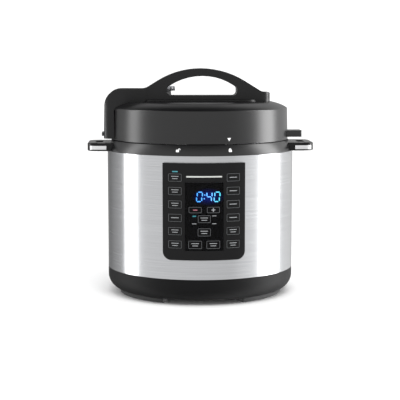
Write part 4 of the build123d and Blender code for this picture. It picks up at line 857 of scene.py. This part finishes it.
def makeDisplay():
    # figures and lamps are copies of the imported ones, sorted into lit and unlit
    left, low, middle = (display[key] * mm for key in ("leftOf", "figuresOver", "lampsOver"))
    tests = {"litFigures": (lambda c: c.x > left and c.z > low, "lit_blue"),
             "litLamp": (lambda c: c.x < left, "lit_cyan"),
             "windowLamp": (lambda c: left < c.x < 0 and middle < c.z < low, "window_cyan"),
             "unlitLamps": (lambda c: c.x > left and c.z < low and (c.x > 0 or c.z < middle),
                            "grey_ink")}
    first = True
    for name, (keep, finish) in tests.items():
        bm = cadCopy("display_lights")
        doomed = [f for f in bm.faces if not keep(f.calc_center_median())]
        bmesh.ops.delete(bm, geom=doomed, context="FACES")
        finishPiece(name, bm, "base", finish, ["display_lights"] if first else [])
        first = False
    d = display
    film = filledPlate([boxOutline(*d["film"])], plane="XZ", level=-d["filmIn"])
    thicken(film, (0, d["filmThick"], 0))
    finishPiece("glowFilm", film, "base", "glow")
    bar = raisedShape([boxOutline(*d["bar"])], 0, d["barUp"], -0.02, inkThick)
    upper, lower = d["markUps"]    # the upper left place is the lamp that is lit
    for side, up in ((-1, lower), (1, upper), (1, lower)):
        mark = [boxOutline(*d["lampMark"])]
        ink = -0.02 - panel["windowIn"]
        joinInto(bar, raisedShape(mark, onFace(side * d["lampArc"]), up, ink, inkThick, 1))
    finishPiece("panelMarks", bend(bar), "base", "bar_ink", extra=("label_ink",))


makeBezel()
makeWindow()
for keyName, (keyArc, keyZ, keyW, keyH) in keyPlaces().items():
    makeKey(keyName, keyArc, keyZ, keyW, keyH, "key_film")
for keyName, (keyArc, keyZ, keyW, keyH) in panel["middleKeys"].items():
    makeKey(keyName, keyArc, keyZ, keyW, keyH, "gloss_key")
makeDisplay()
print("control panel done")


# ---- steam valve: ribbed grey cap on a pale skirt

skirtTop = 296.5


def makeValve():
    bm = cadCopy("steam_valve")
    skirt = [f for f in bm.faces if f.calc_center_median().z < skirtTop * mm]
    for face in skirt:
        face.material_index = 1
    finishPiece("steamValve", bm, "steam_release", "cap_grey", ["steam_valve"],
                extra=("valve_grey",))


makeValve()


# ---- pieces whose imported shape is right: smoothed copies where they can be seen

smoothed = {
    "inner_pot": ("potBody", "nonstick", "nonstick"),
    "sealing_ring": ("sealRing", "silicone", "silicone"),
    "lid_plate": ("lidPlate", "inner_steel", "inner_steel"),
    "bayonet_ring": ("bayonetRing", "inner_steel", "inner_steel"),
    "heat_liner": ("heatLiner", "inner_steel", "inner_steel"),
    "heating_plate": ("heatingPlate", "cast_aluminium", "cast_aluminium"),
    "sensor_button": ("sensorCap", "inner_steel", "inner_steel"),
    "condensation_cup": ("dripCup", "cup_plastic", "cup_plastic"),
    "cup_holder": ("cupHolder", "black_plastic", "black_plastic"),
    "power_inlet": ("inletSocket", "black_plastic", "black_plastic"),
    "inlet_pins": ("inletBlades", "brass", "brass"),
    "float_valve": ("floatPin", "inner_steel", "inner_steel"),
    "gasket_rack": ("sealRack", "inner_steel", "inner_steel"),
    "valve_shield": ("steamSieve", "inner_steel", "inner_steel"),
    "steam_pipe": ("steamPipe", "inner_steel", "inner_steel"),
    "lid_screws": ("lidScrews", "zinc_screw", "zinc_screw"),
    "base_screws": ("baseScrews", "zinc_screw", "zinc_screw"),
}
for node, (pieceName, finish, slot) in smoothed.items():
    finishPiece(pieceName, cadCopy(node), nodes[node]["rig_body"], finish, [node])

# coil springs, each a smoothed copy with a mesh of its own; the real ones shorten towards their fixed
# end: piece, joint, axis, travel in mm
springs = {"sensor_spring": ("capSpring", "sensor_press", 2, 2.5),
           "lock_spring": ("boltSpring", "lock_slide", 1, 8.0)}


def makeSprings():
    for node, (name, joint, axis, travel) in springs.items():
        spring = finishPiece(name, cadCopy(node), nodes[node]["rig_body"], "inner_steel",
                             [node])
        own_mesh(spring)


makeSprings()

# the rest stay as packed, with better finishes
kept = {"lock_icons": "white_print", "lid_mark": "white_print", "heater_bracket": "inner_steel",
        "lock_slider": "inner_steel", "power_board": "board_green",
        "control_board": "polished_plastic", "keypad_mat": "rubber", "pipe_nut": "brass",
        "float_gasket": "silicone"}
for node, finish in kept.items():
    nodes[node].data.materials.clear()
    nodes[node].data.materials.append(materials[finish])
print("inner and rear pieces done")


# ---- studio: pale floor, soft lights, camera

# walls and heights are what shiny things see: a pale room, dim behind and above, with one tall
# soft panel at each side. walls: bearing from the front in degrees, brightness. heights: sine of
# the elevation, share of the brightness left there. topLight: size, watts and place
studio = {"floorSize": 8.0, "white": 1.2, "brightest": 9.0, "turn": -2.4,
          "walls": ((-180, 0.42), (-150, 0.22), (-107, 0.7), (-103, 5.3), (-87, 5.3),
                    (-84, 1.05), (-50, 1.0), (40, 0.9), (78, 1.4), (89, 8.9), (109, 8.9),
                    (114, 1.3), (150, 0.9), (168, 0.55), (180, 0.42)),
          "heights": ((-0.7, 0.55), (-0.35, 1.0), (0.55, 1.0), (0.8, 0.06), (1.0, 0.03)),
          "topLight": (1.2, 16.0, (0.3, -1.1, 1.7)), "topAim": (0, 0, 0.2)}
view = {"place": (-0.0752, -1.7944, 0.348), "target": (0, 0, 0.135), "lens": 108.5, "sensor": 36.0}


def aimed(thing, place, target):
    thing.location = place
    away = Vector(target) - thing.location
    thing.rotation_euler = away.to_track_quat("-Z", "Y").to_euler()
    bpy.context.scene.collection.objects.link(thing)


def makeStudio():
    s = studio
    floor = filledPlate([boxOutline(s["floorSize"] * 1000, s["floorSize"] * 1000, 10)])
    # matt white paper: even and bright, with a very faint cloudiness
    material, tree, shader, place = startMaterial(
        "matt_white_paper", Roughness=0.9, Specular_IOR_Level=0.1)
    fibre = addNode(tree, "ShaderNodeTexNoise", {"Vector": place, "Scale": 1 / (300 * mm)})
    tone = addNode(tree, "ShaderNodeValToRGB", {"Fac": fibre.outputs["Fac"]})
    setRamp(tone, [(0.0, linear("f8f8f8")), (1.0, linear("fbfbfb"))])
    tree.links.new(tone.outputs["Color"], shader.inputs["Base Color"])
    mesh = bpy.data.meshes.new("floor")
    floor.to_mesh(mesh)
    floor.free()
    mesh.materials.append(material)
    sheet = bpy.data.objects.new("floor", mesh)
    sheet.visible_glossy = False
    bpy.context.scene.collection.objects.link(sheet)

    # even white light all round, and the room for reflections
    world = bpy.data.worlds.new("studioRoom")
    bpy.context.scene.world = world
    world.use_nodes = True
    tree = world.node_tree
    place = addNode(tree, "ShaderNodeTexCoord").outputs["Generated"]
    parts = addNode(tree, "ShaderNodeSeparateXYZ", {"Vector": place})
    forward = addNode(tree, "ShaderNodeMath", {0: parts.outputs["Y"], 1: -1.0},
                      operation="MULTIPLY")
    bearing = addNode(tree, "ShaderNodeMath", {0: parts.outputs["X"], 1: forward.outputs["Value"]},
                      operation="ARCTAN2")
    around = addNode(tree, "ShaderNodeMapRange", {
        "Value": bearing.outputs["Value"],
        "From Min": radians(s["turn"]) - pi, "From Max": radians(s["turn"]) + pi})
    walls = addNode(tree, "ShaderNodeValToRGB", {"Fac": around.outputs["Result"]})
    setRamp(walls, [(0.5 + b / 360, (v / s["brightest"],) * 3 + (1,)) for b, v in s["walls"]])
    level = addNode(tree, "ShaderNodeMapRange", {"Value": parts.outputs["Z"], "From Min": -1.0})
    heights = addNode(tree, "ShaderNodeValToRGB", {"Fac": level.outputs["Result"]})
    setRamp(heights, [(0.5 + h / 2, (v, v, v, 1)) for h, v in s["heights"]])
    both = addNode(tree, "ShaderNodeMix", {
        6: walls.outputs["Color"], 7: heights.outputs["Color"], 0: 1.0},
        data_type="RGBA", blend_type="MULTIPLY")
    room = addNode(tree, "ShaderNodeBackground", {
        "Color": both.outputs[2], "Strength": s["brightest"]})
    even = addNode(tree, "ShaderNodeBackground", {"Color": (1, 1, 1, 1), "Strength": s["white"]})
    seen = addNode(tree, "ShaderNodeLightPath")
    mix = addNode(tree, "ShaderNodeMixShader", {
        0: seen.outputs["Is Glossy Ray"],
        1: even.outputs["Background"], 2: room.outputs["Background"]})
    tree.links.new(mix.outputs["Shader"], tree.nodes["World Output"].inputs["Surface"])

    # one weak soft light over the front, for a little shape on level faces
    data = bpy.data.lights.new("softBoxTop", "AREA")
    data.size, data.energy, place = s["topLight"]
    top = bpy.data.objects.new("softBoxTop", data)
    top.visible_camera = False
    top.visible_glossy = False
    aimed(top, place, s["topAim"])


def makeCamera():
    data = bpy.data.cameras.new("camera")
    data.lens, data.sensor_width = view["lens"], view["sensor"]
    camera = bpy.data.objects.new("camera", data)
    aimed(camera, view["place"], view["target"])
    bpy.context.scene.camera = camera


makeStudio()
makeCamera()
bpy.context.scene.view_settings.view_transform = "Standard"
print("studio and camera done")
